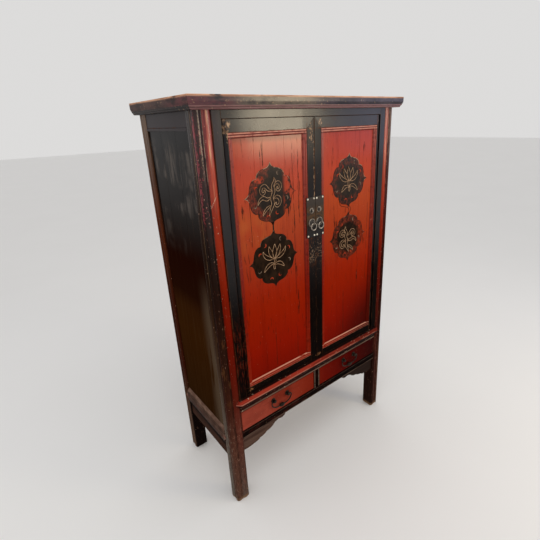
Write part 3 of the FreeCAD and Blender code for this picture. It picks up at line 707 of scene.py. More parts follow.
def black_lacquer(name, wear, arrises=(), under=WORN_BROWN, grain="z", bare=(), most=0.7):
    """Black lacquer, polished up high and lightened there by a painted grey sheen, rubbed brown along the
    given arrises and near the lock.
    """
    look = Look(name, 0.006, 0.2)
    cloud = look.mottle(140)
    fine = streaks(look, 5, grain, 22, 2.0)
    patch = look.mottle(30, (1, 1, 1.8) if grain == "z" else (1.8, 1.8, 1), 5, 0.68, 4.0)
    # Painted sheen: greyer higher up, and greyer still on the upper part of the left jamb
    colour = look.mix(look.z.rise(850, 1350), BLACK, SHEEN_GREY)
    colour = look.mix(look.x.rise(-428, -436) * look.z.rise(1250, 1600) * 0.7, colour, (0.036, 0.026, 0.029))
    handled = look.z.rise(1000, 1130) * look.z.rise(1400, 1290) * look.x.size().rise(60, 30)
    quiet = look.x.size().rise(70, 60) * look.z.rise(1100, 1000)
    thread = look.mottle(4, (1, 1, 6), 5, 0.7, 31.0)
    rub = patch.rise(0.62 - 0.2 * wear, 0.74) * wear
    rub = rub + handled * thread.rise(0.54, 0.6) * patch.rise(0.4, 0.54) * 0.8
    if arrises:
        edge = lines_of(look, arrises)
        rub = rub + edge.rise(0.1, 0.9) * patch.rise(0.42, 0.6)
    rub = rub.under(1)
    ruddy = (
        look.x.rise(-360, -400) * look.z.rise(1000, 850)
        * look.mottle(6, (1, 1, 7), 4, 0.7, 27.0).rise(0.48, 0.6) * look.z.rise(580, 720)
    )
    colour = look.coats(
        colour,
        (rub * 0.85 * (1 - quiet * 0.7), under),
        (handled * thread.rise(0.6, 0.66) * 0.8, (0.15, 0.06, 0.024)),
        (fine.rise(0.6, 0.75) * 0.25, under),
        (ruddy * 0.9, (0.075, 0.009, 0.0035)),
    )
    chip = look.mottle(4.2, (1, 1, 1.8) if grain == "z" else (1.8, 1.8, 1), 3, 0.6, 11.0)
    lift = handled * look.z.near(1120, 110) * 0.1
    chip = (
        (chip + lift).rise(0.655, 0.69)
        * (look.mottle(70, (1, 1, 1), 2, 0.5, 13.0) + lift * 2).rise(0.48, 0.6)
    )
    if arrises:
        chip = chip * (0.3 + 0.7 * edge.over(handled))
    colour = look.mix(chip * 0.9, colour, (0.42, 0.26, 0.16))
    for x, z, wide, tall in bare:
        spot = (look.x.near(x, wide) * look.z.near(z, tall)).rise(0.0, 0.45)
        grainy = look.mottle(6, (1, 1, 2.2), 4, 0.68, 21.0)
        worn = (spot * 0.16 + grainy).rise(0.6, 0.7) * spot.rise(0.02, 0.2)
        pale = look.mix(look.z.rise(700, 900), (0.24, 0.1, 0.04), (0.46, 0.28, 0.16))
        colour = look.mix(worn * 0.9, colour, look.mix(grainy.rise(0.48, 0.64), (0.1, 0.046, 0.02), pale))
    roughness = 0.3 + 0.2 * cloud + rub * 0.25 + chip * 0.2
    height = fine * 0.12 - chip * 0.25 + patch * 0.08
    gloss = polish(look, most) * (1 - rub * 0.6) * (0.7 + 0.6 * cloud)
    gloss = gloss * (1 - look.x.rise(-330, -400) * 0.22) * (1 - look.x.rise(-75, -50) * 0.35)
    gloss = gloss * (1 - look.x.size().rise(60, 40) * look.z.rise(1690, 1670) * 0.3)
    return look.finish(colour, roughness, height, gloss=gloss)


def reed_lacquer():
    """Reeds round the panels: painted highlights on the crests, strongest along the bottom, painted shade in
    the hollows and low on the right, and pale rubbed patches.
    """
    look = Look("red reed lacquer", 0.01, 0.2)
    fine = look.mottle(16, (1, 1, 1), 4)
    # Paler and pinker at the top: painted reflection
    colour = look.shades(
        look.z, (600, (0.23, 0.014, 0.004)), (1000, (0.19, 0.008, 0.002)), (1400, (0.22, 0.022, 0.009)),
        (1700, (0.3, 0.06, 0.045)),
    )
    # Painted shade low on the right
    shade = (look.x.rise(60, 430) * look.z.rise(1180, 620)).rise(0.05, 0.9)
    # Painted highlights along the crests, and painted shade in the hollows between them
    low_highlight = any_of([
        look.z.near(FLAT_LOW + 18.5, 3), look.z.near(FLAT_LOW + 1.5, 2.6) * 0.8,
        look.z.near(FLAT_LOW + 9.5, 2.6) * 0.55,
    ]).rise(0.15, 0.8)
    high_highlight = any_of([look.z.near(FLAT_TOP - 3.5, 3.6), look.z.near(FLAT_TOP - 12.5, 3.6)]).rise(0.2, 0.7)
    hollow_shade = any_of([look.z.near(FLAT_TOP - 8.2, 2.2), look.z.near(FLAT_TOP - 18.5, 3.0)]).rise(0.2, 0.7)
    # This pattern breaks up the painted highlights and also lays pale rubbed patches
    worn = look.mottle(26, (1.6, 1, 1), 5, 0.6, 6.0)
    crest = low_highlight * worn.rise(0.34, 0.46) + high_highlight * worn.rise(0.36, 0.52) * 0.75
    colour = look.coats(
        colour,
        (shade * 0.8, (0.035, 0.002, 0.001)),
        (fine.rise(0.5, 0.7) * 0.6, (0.07, 0.006, 0.003)),
        (hollow_shade * 0.85, (0.06, 0.008, 0.006)),
        (crest.under(1) * 0.85, (0.62, 0.3, 0.2)),
        (worn.rise(0.62, 0.74) * 0.3, (0.42, 0.16, 0.1)),
    )
    return look.finish(colour, 0.3 + fine * 0.2, fine * 0.15, gloss=polish(look, 0.55))


def post_lacquer():
    """Posts: a dark corner lobe streaked with red and tan, and a red bead with a painted cream highlight
    along its crest up high.
    """
    look = Look("post lacquer", 0.006, 0.2)
    across = POST_OUT - look.x.size()
    deep = (look.y - FRONT).under(REAR - look.y)
    along_face = across.over(deep)
    front = (across - deep).rise(-3, 3) * look.y.rise(0, -10)
    rear = look.y.rise(-10, 0)
    right = look.x.rise(-10, 10)
    fine = streaks(look, 4, "z", 26, 1.0)
    patch = look.mottle(15, (1, 1, 3.4), 5, 0.68, 3.0)
    # Each ramp of the posts goes paler grey tan towards the foot: a painted reflection of the pale floor
    bead = look.shades(
        look.z, (20, (0.105, 0.07, 0.054)), (240, (0.085, 0.036, 0.025)), (430, (0.105, 0.026, 0.016)),
        (600, (0.09, 0.0095, 0.0042)), (850, (0.13, 0.0052, 0.0013)), (1060, (0.178, 0.009, 0.0018)),
        (1390, (0.295, 0.023, 0.0035)), (1560, (0.4, 0.062, 0.034)), (1730, (0.3, 0.07, 0.06)),
    )
    inner = along_face.rise(45, 37) * look.z.rise(1300, 1620) * (1 - right)
    # Painted highlight: a cream line along the bead's crest up high
    crest = along_face.near(47, 4.2).rise(0.1, 0.8) * look.z.rise(1380, 1620)
    crest = crest * look.mottle(50, (1, 1, 3), 3, 0.5, 8.0).rise(0.34, 0.56)
    bead = look.coats(
        bead,
        (fine.rise(0.46, 0.7) * 0.45, (0.055, 0.0045, 0.0022)),
        # Painted shade: the right post's bead darker low down
        (right * look.z.rise(1250, 500) * 0.75, (0.03, 0.0042, 0.0024)),
        (inner * (fine * 0.6 + patch * 0.4).rise(0.4, 0.56) * 0.85, (0.115, 0.022, 0.026)),
        (crest * 0.75, (0.74, 0.42, 0.25)),
    )
    lobe = look.shades(
        look.z, (20, (0.085, 0.042, 0.028)), (330, (0.08, 0.03, 0.019)), (520, (0.046, 0.0125, 0.007)),
        (700, (0.024, 0.0075, 0.004)), (1250, (0.011, 0.0052, 0.0036)), (1700, (0.04, 0.021, 0.02)),
    )
    shred = look.mottle(4.5, (1, 1, 2.8), 5, 0.75, 5.0)
    high = look.z.rise(1290, 1440)
    vein = (
        along_face.near(13, 11).rise(0.05, 0.7) * (1 - front * 0.8)
        * (look.z.rise(480, 700) * look.z.rise(1130, 950) * 0.05 + high * 0.11)
    )
    blush = look.mix(high, (0.105, 0.018, 0.006), (0.25, 0.04, 0.048))
    grey = along_face.near(17, 5).rise(0, 0.6) * front * look.z.rise(1500, 1600) * shred.rise(0.46, 0.54)
    lobe = look.coats(
        lobe,
        ((vein + shred * 0.7 + patch * 0.3).rise(0.565, 0.625) * (0.45 + 0.4 * high), blush),
        (grey * 0.85, (0.24, 0.155, 0.11)),
        (look.z.rise(1040, 960) * look.z.rise(520, 640) * patch.rise(0.54, 0.62) * 0.8,
         (0.075, 0.03, 0.011)),
        (right * 0.7, look.mix(look.z.rise(900, 1300), (0.022, 0.0034, 0.0024), (0.06, 0.0065, 0.0042))),
    )
    face = look.shades(
        look.z, (20, (0.135, 0.112, 0.094)), (380, (0.115, 0.09, 0.072)), (560, (0.085, 0.06, 0.044)),
        (700, (0.055, 0.03, 0.018)), (950, (0.036, 0.015, 0.0065)), (1180, (0.014, 0.005, 0.0022)),
        (1450, (0.026, 0.014, 0.01)), (1720, (0.03, 0.022, 0.021)),
    )
    face = look.mix(fine.rise(0.5, 0.7) * 0.5, face, (0.018, 0.008, 0.0045))
    back_face = look.shades(
        look.z, (20, (0.11, 0.062, 0.04)), (300, (0.085, 0.045, 0.028)), (400, (0.05, 0.017, 0.0075)),
        (560, (0.04, 0.0065, 0.0017)), (900, (0.042, 0.0075, 0.0022)), (1300, (0.085, 0.019, 0.0065)),
        (1500, (0.09, 0.033, 0.015)), (1720, (0.12, 0.064, 0.032)),
    )
    back_face = look.mix(fine.rise(0.48, 0.66) * 0.6, back_face, (0.01, 0.0035, 0.0018))
    face = look.coats(
        face,
        (rear, back_face),
        # Painted shade: the rear post's front face near black under the body
        (rear * look.y.rise(211, 205) * look.z.rise(430, 330), (0.006, 0.003, 0.0022)),
    )
    lobe = look.mix(rear, lobe, back_face)
    colour = look.mix(along_face.rise(29, 32), lobe, look.mix(front, face, bead))
    groove = along_face.near(29.5, 3.2).rise(0.1, 0.7) * (1 - rear)
    tan_line = (
        along_face.near(60.5, 2.4).over(along_face.near(33, 2.6) * look.z.rise(1050, 1200)) * (1 - rear)
    )
    low = look.z.rise(560, 420) * (1 - rear)
    wear = look.mottle(8, (1, 1, 3), 5, 0.7, 41.0)
    # Painted shadow: a dark line along the post's inner edge beside the drawers
    gap_shadow = along_face.near(60, 2.6) * front * (1 - rear) * look.z.rise(600, 540)
    # Painted shade on the inner part of the right post's foot, and a painted highlight along its lobe
    inner = along_face.rise(45, 50) * front * right * look.z.rise(430, 390)
    lobe_highlight = (
        along_face.near(19, 3).rise(0.1, 0.8) * front * right * look.z.rise(460, 400) * patch.rise(0.36, 0.48)
    )
    tip = look.z.rise(26, 6) * patch.rise(0.4, 0.54) * (1 - rear)
    chip = look.mottle(6, (1, 1, 1.5), 3, 0.6, 21.0).rise(0.68, 0.71)
    scar = (look.x - 0.55 * (look.z - 1450)).near(-484, 2.6) * look.z.near(1450, 22).rise(0, 0.3)
    scar = scar.over(look.x.near(-480, 4) * look.z.near(1338, 5)) * (1 - rear)
    chip = chip.over(scar.rise(0.15, 0.5) * look.mottle(5, (1, 1, 1), 2, 0.5, 4.0).rise(0.42, 0.5))
    colour = look.coats(
        colour,
        (groove * patch.rise(0.44, 0.56) * look.z.rise(1250, 1600) * 0.7, (0.24, 0.16, 0.11)),
        (groove * patch.rise(0.56, 0.46) * 0.8, BLACK),
        (tan_line * (1 - front) * patch.rise(0.34, 0.46) * 0.85, (0.19, 0.115, 0.062)),
        # Pale near the foot: wear, together with a painted reflection of the floor
        (low * wear.rise(0.52, 0.64) * 0.55, look.mix(front, (0.2, 0.155, 0.12), (0.165, 0.07, 0.048))),
        (low * wear.rise(0.46, 0.36) * 0.6, (0.028, 0.011, 0.008)),
        (gap_shadow * 0.85, (0.012, 0.005, 0.0035)),
        (inner * 0.75, (0.008, 0.003, 0.002)),
        (lobe_highlight * 0.7, (0.17, 0.1, 0.065)),
        (tip * 0.7, (0.26, 0.155, 0.082)),
        (chip * 0.85, (0.56, 0.32, 0.22)),
    )
    gloss = look.z.rise(1050, 1580) * (0.03 + 0.52 * front.over(look.z.rise(1250, 1640)))
    return look.finish(colour, 0.32 + 0.22 * patch, fine * 0.14 - chip * 0.3, gloss=gloss)


def cornice_lacquer(front_member):
    """Moulded edge of the top: purplish black, with a painted grey tan reflection on the front, and bare wood
    along the top arris.
    """
    look = Look("cornice front lacquer" if front_member else "cornice side lacquer", 0.02, 0.24)
    axis = "x" if front_member else "y"
    fine = streaks(look, 7, axis, 16, 2.0)
    patch = look.mottle(46, (2.2, 1, 1) if front_member else (1, 2.2, 1), 5, 0.65, 5.0)
    chip = look.mottle(9, (1, 1, 1), 4, 0.6, 9.0).rise(0.63, 0.67)
    if front_member:
        colour = look.mix(patch.rise(0.38, 0.6), (0.018, 0.013, 0.02), (0.046, 0.03, 0.04))
        crimson = look.x.rise(-330, -420) * patch.rise(0.36, 0.56)
        # Painted reflection of a window: grey tan across the front, left of the middle
        rubbed = look.x.near(-190, 260).rise(0.05, 0.7) * patch.rise(0.2, 0.56)
        colour = look.coats(
            colour,
            (crimson * 0.85, (0.11, 0.03, 0.036)),
            (rubbed * 0.8, (0.19, 0.145, 0.098)),
        )
        pale = (0.19, 0.088, 0.088)
        red = look.mix(fine.rise(0.45, 0.65) * 0.6, pale, (0.085, 0.024, 0.024))
        groove = look.z.near(TOP_ROUND - TOP_REED, 1.6).over(look.z.near(TOP_ROUND, 1.4)).rise(0.2, 0.8)
        red = look.mix(groove * 0.75, red, (0.03, 0.008, 0.008))
    else:
        colour = look.mix(patch.rise(0.38, 0.6), (0.026, 0.012, 0.012), (0.068, 0.032, 0.027))
        colour = look.mix(
            look.y.rise(-60, -180) * patch.rise(0.36, 0.56) * 0.85, colour, (0.105, 0.026, 0.03)
        )
        red = look.mix(fine.rise(0.45, 0.65), (0.02, 0.016, 0.016), (0.032, 0.022, 0.021))
    top = look.z.rise(1791, 1799) * patch.rise(0.3, 0.46)
    wood = look.mix(fine.rise(0.4, 0.65), (0.72, 0.4, 0.255), (0.34, 0.15, 0.08))
    colour = look.coats(
        colour,
        (look.z.rise(TOP_ROUND + 0.6, TOP_ROUND - 0.6), red),
        (chip * 0.7, (0.32, 0.2, 0.115)),
        (top, wood),
    )
    gloss = (0.62 if front_member else 0.22) * (1 - top) * (0.6 + 0.8 * patch)
    return look.finish(colour, 0.36 + 0.25 * patch + top * 0.15, fine * 0.15 - chip * 0.3, gloss=gloss)


def top_lacquer():
    """Upper face of the top: old dark varnish rubbed to the wood, with scratches along the grain."""
    look = Look("cabinet top varnish", 0.12, 0.22)
    fine = streaks(look, 8, "x", 24, 2.0)
    patch = look.mottle(130, (1.6, 1, 1), 5, 0.62, 5.0)
    colour = look.mix(fine.rise(0.38, 0.66), (0.17, 0.07, 0.034), (0.055, 0.022, 0.013))
    scratch = look.mottle(3, (30, 1, 1), 2, 0.5, 17.0).rise(0.68, 0.72)
    colour = look.coats(
        colour,
        (patch.rise(0.46, 0.66) * 0.5, (0.3, 0.155, 0.08)),
        (scratch * 0.5, (0.45, 0.28, 0.16)),
    )
    return look.finish(colour, 0.42 + 0.2 * patch, fine * 0.15, gloss=0.25 * patch.rise(0.62, 0.42))


def sill_lacquer():
    """Door sill: red above the ridge, a ridge paler from rubbing and a painted highlight, a black face below
    and a thin grey bead, darker to the right through painted shade.
    """
    look = Look("door sill lacquer", 0.01, 0.25)
    fine = streaks(look, 6, "x", 22, 2.0)
    patch = look.mottle(30, (2, 1, 1), 5, 0.65, 5.0)
    # Painted shade: darker towards the right
    deep = look.x.rise(-300, 420)
    high = look.mix(deep, (0.3, 0.032, 0.017), (0.115, 0.0125, 0.0065))
    high = look.mix(fine.rise(0.45, 0.66) * 0.5, high, (0.04, 0.005, 0.003))
    low = look.mix(patch.rise(0.42, 0.64), (0.008, 0.0026, 0.0018), (0.038, 0.0085, 0.005))
    low = look.mix(deep * 0.7, low, (0.005, 0.002, 0.0015))
    brim = look.z.rise(572.5, 574.5) * look.x.size().rise(474, 462)
    high = look.mix(brim * 0.97, high, BLACK)
    colour = look.mix(look.z.rise(SILL_RIDGE - 2, SILL_RIDGE + 1), low, high)
    # Paler ridge: rubbing together with a painted highlight
    ridge = look.z.near(SILL_RIDGE + 1.5, 3.4).rise(0.1, 0.7) * patch.rise(0.4, 0.52) * (0.95 - 0.4 * deep)
    bead = look.mix(fine.rise(0.4, 0.66), (0.15, 0.1, 0.07), (0.09, 0.057, 0.04))
    painted = look.mix(deep, (0.11, 0.016, 0.009), (0.014, 0.004, 0.003))
    bead = look.mix(look.z.near(512, 4.2).rise(0.1, 0.6), painted, bead)
    chip = look.mottle(7, (1.4, 1, 1), 3, 0.6, 9.0).rise(0.66, 0.7)
    colour = look.coats(
        colour,
        (ridge, (0.37, 0.135, 0.092)),
        (look.z.rise(SILL_NOSE_LOW + 0.5, SILL_NOSE_LOW - 0.5), bead),
        (chip * 0.8, CREAM),
    )
    return look.finish(colour, 0.3 + 0.25 * patch, fine * 0.12 - chip * 0.3)


def drawer_lacquer():
    """Drawer fronts: brick red to the left, going over to a deep blackish red through painted shade, with
    painted shade round the bails and along the edges.
    """
    look = Look("drawer front lacquer", 0.008, 0.25)
    fine = streaks(look, 7, "x", 14, 2.0)
    cloud = look.mottle(90, (1.6, 1, 1), 4)
    # Darker towards the right: painted shade
    colour = look.shades(
        look.x, (-460, (0.3, 0.052, 0.031)), (-330, (0.285, 0.048, 0.028)), (-90, (0.205, 0.02, 0.0075)),
        (60, (0.125, 0.0042, 0.0009)), (240, (0.066, 0.0016, 0.0005)), (460, (0.02, 0.0006, 0.0003)),
    )
    # Painted shade: a darker red round the bail
    bail_shade = look.x.near(-225, 75).rise(0, 0.6) * look.z.near(480, 40).rise(0, 0.8)
    fleck = look.mottle(5, (1, 1, 1), 2, 0.5, 9.0).rise(0.71, 0.74)
    # Painted shadow lines along the top, bottom and outer edges
    edge = lines_of(look, [("z", DRAWER_TOP, 5), ("z", DRAWER_LOW, 3), ("x", -DRAWER_OUT, 4.5)])
    colour = look.coats(
        colour,
        (cloud.rise(0.46, 0.7) * 0.25, (0.035, 0.0035, 0.002)),
        (fine.rise(0.58, 0.72) * 0.3, (0.02, 0.003, 0.002)),
        (bail_shade * 0.6, (0.13, 0.012, 0.005)),
        (fleck * 0.5, CREAM),
        (edge.rise(0.1, 0.8) * 0.45, (0.03, 0.005, 0.003)),
    )
    return look.finish(colour, 0.38 + 0.2 * cloud, fine * 0.12)


def beaded_lacquer(name, bands):
    """Black rail whose beads are rubbed to grey tan: each band is an axis, a level and a reach."""
    look = Look(name, 0.008, 0.25)
    fine = streaks(look, 6, "x", 14, 2.0)
    patch = look.mottle(28, (2, 1, 1), 5, 0.65, 5.0)
    # Painted shade: darker towards the right
    deep = look.x.rise(-250, 250)
    colour = look.mix(patch.rise(0.46, 0.66) * 0.8, (0.005, 0.0022, 0.0016), (0.036, 0.0075, 0.0045))
    colour = look.mix(deep * 0.85, colour, (0.0018, 0.001, 0.0008))
    crest = lines_of(look, bands).rise(0.25, 0.75)
    tan = look.mix(fine.rise(0.4, 0.66), (0.135, 0.09, 0.066), (0.06, 0.034, 0.024))
    chip = look.mottle(7, (1.4, 1, 1), 3, 0.6, 9.0).rise(0.67, 0.71)
    colour = look.coats(
        colour,
        (crest * patch.rise(0.3, 0.46) * 0.9, tan),
        (chip * 0.7, TAN),
    )
    return look.finish(colour, 0.32 + 0.25 * patch, fine * 0.12 - chip * 0.3)


def old_wood(name, light, dark, grain, size=7.0, rough=0.5, stain_colour=None, shade=()):
    """Plain wood with its grain, pores and handling stains; painted shade may darken it along an axis."""
    look = Look(name, 0.02, 0.3)
    broad = look.mottle(size * 6, drawn_out(grain, 8.0), 4, 0.6, 2.0)
    fine = look.mottle(size, drawn_out(grain, 20.0), 5, 0.65, 4.0)
    pore = look.mottle(1.6, drawn_out(grain, 24.0), 2, 0.5, 6.0)
    colour = look.coats(
        light,
        (fine.rise(0.34, 0.68), dark),
        (broad.rise(0.42, 0.66) * 0.35, dark),
        (pore.rise(0.6, 0.72) * 0.4, tuple(part * 0.4 for part in dark)),
    )
    if stain_colour:
        stain = look.mottle(150, (1, 1, 1), 4, 0.5, 8.0).rise(0.5, 0.7)
        colour = look.mix(stain * 0.4, colour, stain_colour)
    # Painted shade: darker along each given axis
    for axis, low, high, share in shade:
        colour = look.mix(
            getattr(look, axis).rise(low, high) * share, colour, tuple(part * 0.2 for part in dark)
        )
    height = fine * 0.25 - pore.rise(0.6, 0.72) * 0.15
    return look.finish(colour, rough + 0.2 * fine, height)


def side_panel_lacquer():
    """Side panels: brown varnish over red, streaked down the boards, with a painted grey reflection up high.
    """
    look = Look("side panel varnish", 0.0, 0.16)
    fine = streaks(look, 6, "z", 40, 2.0)
    broad = streaks(look, 30, "z", 9, 5.0, 3)
    cloud = look.mottle(150, (1, 1, 0.8), 3, 0.5, 9.0)
    # Greyer towards the top: painted reflection
    colour = look.shades(
        look.z, (420, (0.024, 0.0085, 0.002)), (820, (0.033, 0.01, 0.0015)), (940, (0.03, 0.009, 0.002)),
        (1020, (0.016, 0.004, 0.0014)), (1180, (0.014, 0.0028, 0.0012)), (1340, (0.008, 0.0042, 0.003)),
        (1560, (0.0055, 0.0042, 0.004)), (1700, (0.01, 0.0086, 0.0092)),
    )
    near_post = look.y.rise(-60, -165) * look.z.rise(1180, 950)
    # Painted reflection: grey blotches up high
    painted_sheen = (
        look.z.rise(1180, 1330) * look.z.rise(1690, 1600) * (0.45 + 0.55 * look.z.rise(1360, 1440))
        * cloud.rise(0.46, 0.6)
    )
    colour = look.coats(
        colour,
        (near_post * broad.rise(0.32, 0.52) * 0.9, (0.09, 0.06, 0.038)),
        (painted_sheen * broad.rise(0.4, 0.62) * 0.9, (0.078, 0.062, 0.052)),
        (look.z.rise(1020, 950) * fine.rise(0.5, 0.7) * 0.4, (0.056, 0.026, 0.01)),
        (fine.rise(0.6, 0.72) * 0.5, (0.04, 0.02, 0.01)),
    )
    inner = look.x.size().rise(508, 507)
    colour = bare_inside(look, colour, inner)
    gloss = 0.36 * look.z.rise(1180, 1600) * (1 - inner)
    return look.finish(colour, 0.32 + 0.2 * fine, fine * 0.2, gloss=gloss)


def side_rail_lacquer():
    """Bottom rail of the side: a rubbed pinkish band over dark brown."""
    look = Look("side bottom rail lacquer", 0.015, 0.25)
    fine = streaks(look, 6, "y", 16, 2.0)
    patch = look.mottle(30, (1, 2, 1), 5, 0.65, 5.0)
    colour = look.mix(patch.rise(0.4, 0.62), (0.11, 0.058, 0.04), (0.19, 0.11, 0.078))
    worn = look.z.near(372, 9) * look.mottle(22, (1, 2.4, 1), 4, 0.7, 8.0).rise(0.46, 0.6)
    line = look.z.near(384, 2.5).over(look.z.near(360, 2.5)).rise(0.1, 0.8)
    colour = look.coats(
        colour,
        (worn * 0.8, (0.17, 0.034, 0.024)),
        (line * 0.7, (0.035, 0.015, 0.01)),
        (look.z.rise(352, 343) * 0.75, (0.022, 0.009, 0.006)),
        (fine.rise(0.58, 0.7) * 0.4, (0.03, 0.012, 0.008)),
    )
    return look.finish(colour, 0.36 + 0.2 * patch, fine * 0.15, gloss=0.01)


def metal(name, base, stain, share=0.75, rough=0.45, bright=1.7, specular=0.4):
    """Old hammered metal, dulled by handling."""
    look = Look(name, specular, 0.2)
    cloud = look.mottle(14, (1, 1, 1), 5, 0.65)
    fine = look.mottle(2.2, (1, 1, 1), 3, 0.6, 5.0)
    colour = look.mix(cloud.rise(0.42, 0.62), base, stain)
    colour = look.mix(fine.rise(0.6, 0.7) * 0.5, colour, tuple(part * bright for part in base))
    return look.finish(colour, rough + 0.25 * cloud, cloud * 0.25 + fine * 0.08, share)


def plate_metal():
    """Lock plates: grey brown, darker to the foot, tarnished brown round the bosses."""
    look = Look("lock plate metal", 0.16, 0.2)
    cloud = look.mottle(16, (1, 1, 1), 5, 0.65)
    fine = look.mottle(2.4, (1, 1, 1), 3, 0.6, 5.0)
    colour = look.shades(
        look.z, (1225, (0.012, 0.012, 0.014)), (1290, (0.019, 0.014, 0.0112)), (1400, (0.048, 0.038, 0.032))
    )
    tarnish = look.z.near(1322, 52).rise(0, 0.6) * cloud.rise(0.4, 0.56)
    colour = look.coats(
        colour,
        (tarnish * 0.75, (0.09, 0.045, 0.018)),
        (fine.rise(0.56, 0.7) * 0.5, (0.115, 0.098, 0.08)),
    )
    return look.finish(colour, 0.5 + 0.25 * cloud, cloud * 0.25 + fine * 0.1, 0.35)


def medallion_ground():
    """Dark lacquer of the medallions, crazed down the grain and worn through to the red in places."""
    look = Look("medallion lacquer", 0.02, 0.2)
    red, fine, _ = panel_colour(look)
    patch = look.mottle(26, (1, 1, 1.6), 5, 0.65, 3.0)
    ground = look.mix(patch.rise(0.4, 0.64), (0.009, 0.0045, 0.0022), (0.021, 0.0105, 0.005))
    upper = look.z.rise(1300, 1316)
    right = look.x.rise(-10, 10)
    across = look.x.size() + MEDALLION_X
    rise = look.z - MEDALLION_LOWER - upper * (MEDALLION_UPPER - MEDALLION_LOWER)
    out = look.node("Math", {"operation": "SQRT"}, {0: across * across + rise * rise})
    petal = look.mottle(12, (1, 1, 1.3), 3, 0.55, 12.0)
    share = right * (0.9 - 0.25 * upper) + (1 - right) * upper * look.x.rise(-215, -250)
    band = out.rise(58, 84) * out.rise(122, 108)
    craze = look.mottle(5, (1, 1, 2.4), 4, 0.7, 18.0)
    rim = (band * share * 0.16 + petal * 0.6 + craze * 0.4).rise(0.52, 0.68) * band * share
    ground = look.coats(
        ground,
        (fine.rise(0.58, 0.72) * 0.5, (0.04, 0.016, 0.007)),
        (rim * 0.75, look.mix(craze.rise(0.42, 0.6), (0.25, 0.032, 0.012), (0.04, 0.012, 0.007))),
    )
    left_upper = look.x.rise(-172, -146) * look.x.rise(-20, -60) * upper
    left_patch = look.x.near(-280, 30) * look.z.near(1502, 16)
    right_lower = look.x.rise(286, 322) * (1 - upper) * 0.5
    worn = look.mottle(30, (1, 1, 1.7), 5, 0.66, 14.0)
    gone = (left_upper * worn.rise(0.4, 0.5) + right_lower * worn.rise(0.4, 0.56)
            + left_patch.rise(0.1, 0.5) * worn.rise(0.42, 0.54)).under(1)
    colour = look.mix(gone * 0.92, ground, red)
    return look.finish(colour, 0.34 + 0.2 * patch, fine * 0.15, gloss=polish(look, 0.4, 1180, 1460))


def gilt():
    """Pale gold paint of the ornament's lines, worn away in places."""
    look = Look("ornament gilt", 0.1, 0.2)
    patch = look.mottle(15, (1, 1, 1), 4, 0.6, 3.0)
    colour = look.mix(patch.rise(0.42, 0.64), (0.45, 0.275, 0.155), (0.22, 0.115, 0.056))
    colour = look.mix(patch.rise(0.68, 0.74) * 0.92, colour, (0.02, 0.01, 0.006))
    return look.finish(colour, 0.45, patch * 0.1)


def rim_line():
    """Outline of a medallion: near black, with pale gold left on its upper lobes and outer tip."""
    look = Look("medallion outline paint", 0.05, 0.2)
    patch = look.mottle(22, (1, 1, 1), 4, 0.6, 3.0)
    upper = look.z.rise(1300, 1316)
    rise = look.z - MEDALLION_LOWER - upper * (MEDALLION_UPPER - MEDALLION_LOWER)
    lit = rise.rise(30, 85).over((look.x.size() + MEDALLION_X).rise(95, 115)) * (0.45 + 0.55 * upper)
    colour = look.mix(
        (lit * patch.rise(0.62, 0.44)).rise(0.15, 0.8), (0.016, 0.007, 0.004), (0.4, 0.27, 0.17)
    )
    return look.finish(colour, 0.45, patch * 0.1)


def plain_paint(name, first, second):
    """Small painted details in two close colours."""
    look = Look(name, 0.02, 0.2)
    patch = look.mottle(12, (1, 1, 1), 3, 0.6, 3.0)
    return look.finish(look.mix(patch.rise(0.4, 0.6), first, second), 0.4, patch * 0.1)


# Worn edges of the door frames: an axis, a level along it (across counts from the middle), a reach
DOOR_ARRISES = (
    ("x", 405, 5), ("x", 424, 3), ("x", 40, 5), ("x", 1, 3.5), ("z", 1680.5, 5), ("z", 615, 3), ("z", 581, 3),
)

# Bare places of the door frames: middle across and up, half width, half height
DOOR_BARE = (
    (-409, 1704, 22, 40), (-402, 1664, 11, 34), (34, 1702, 12, 26), (-16, 1660, 15, 60), (-3, 1500, 4, 220),
    (408, 1702, 10, 18), (8, 600, 34, 10), (-398, 602, 18, 10),
)

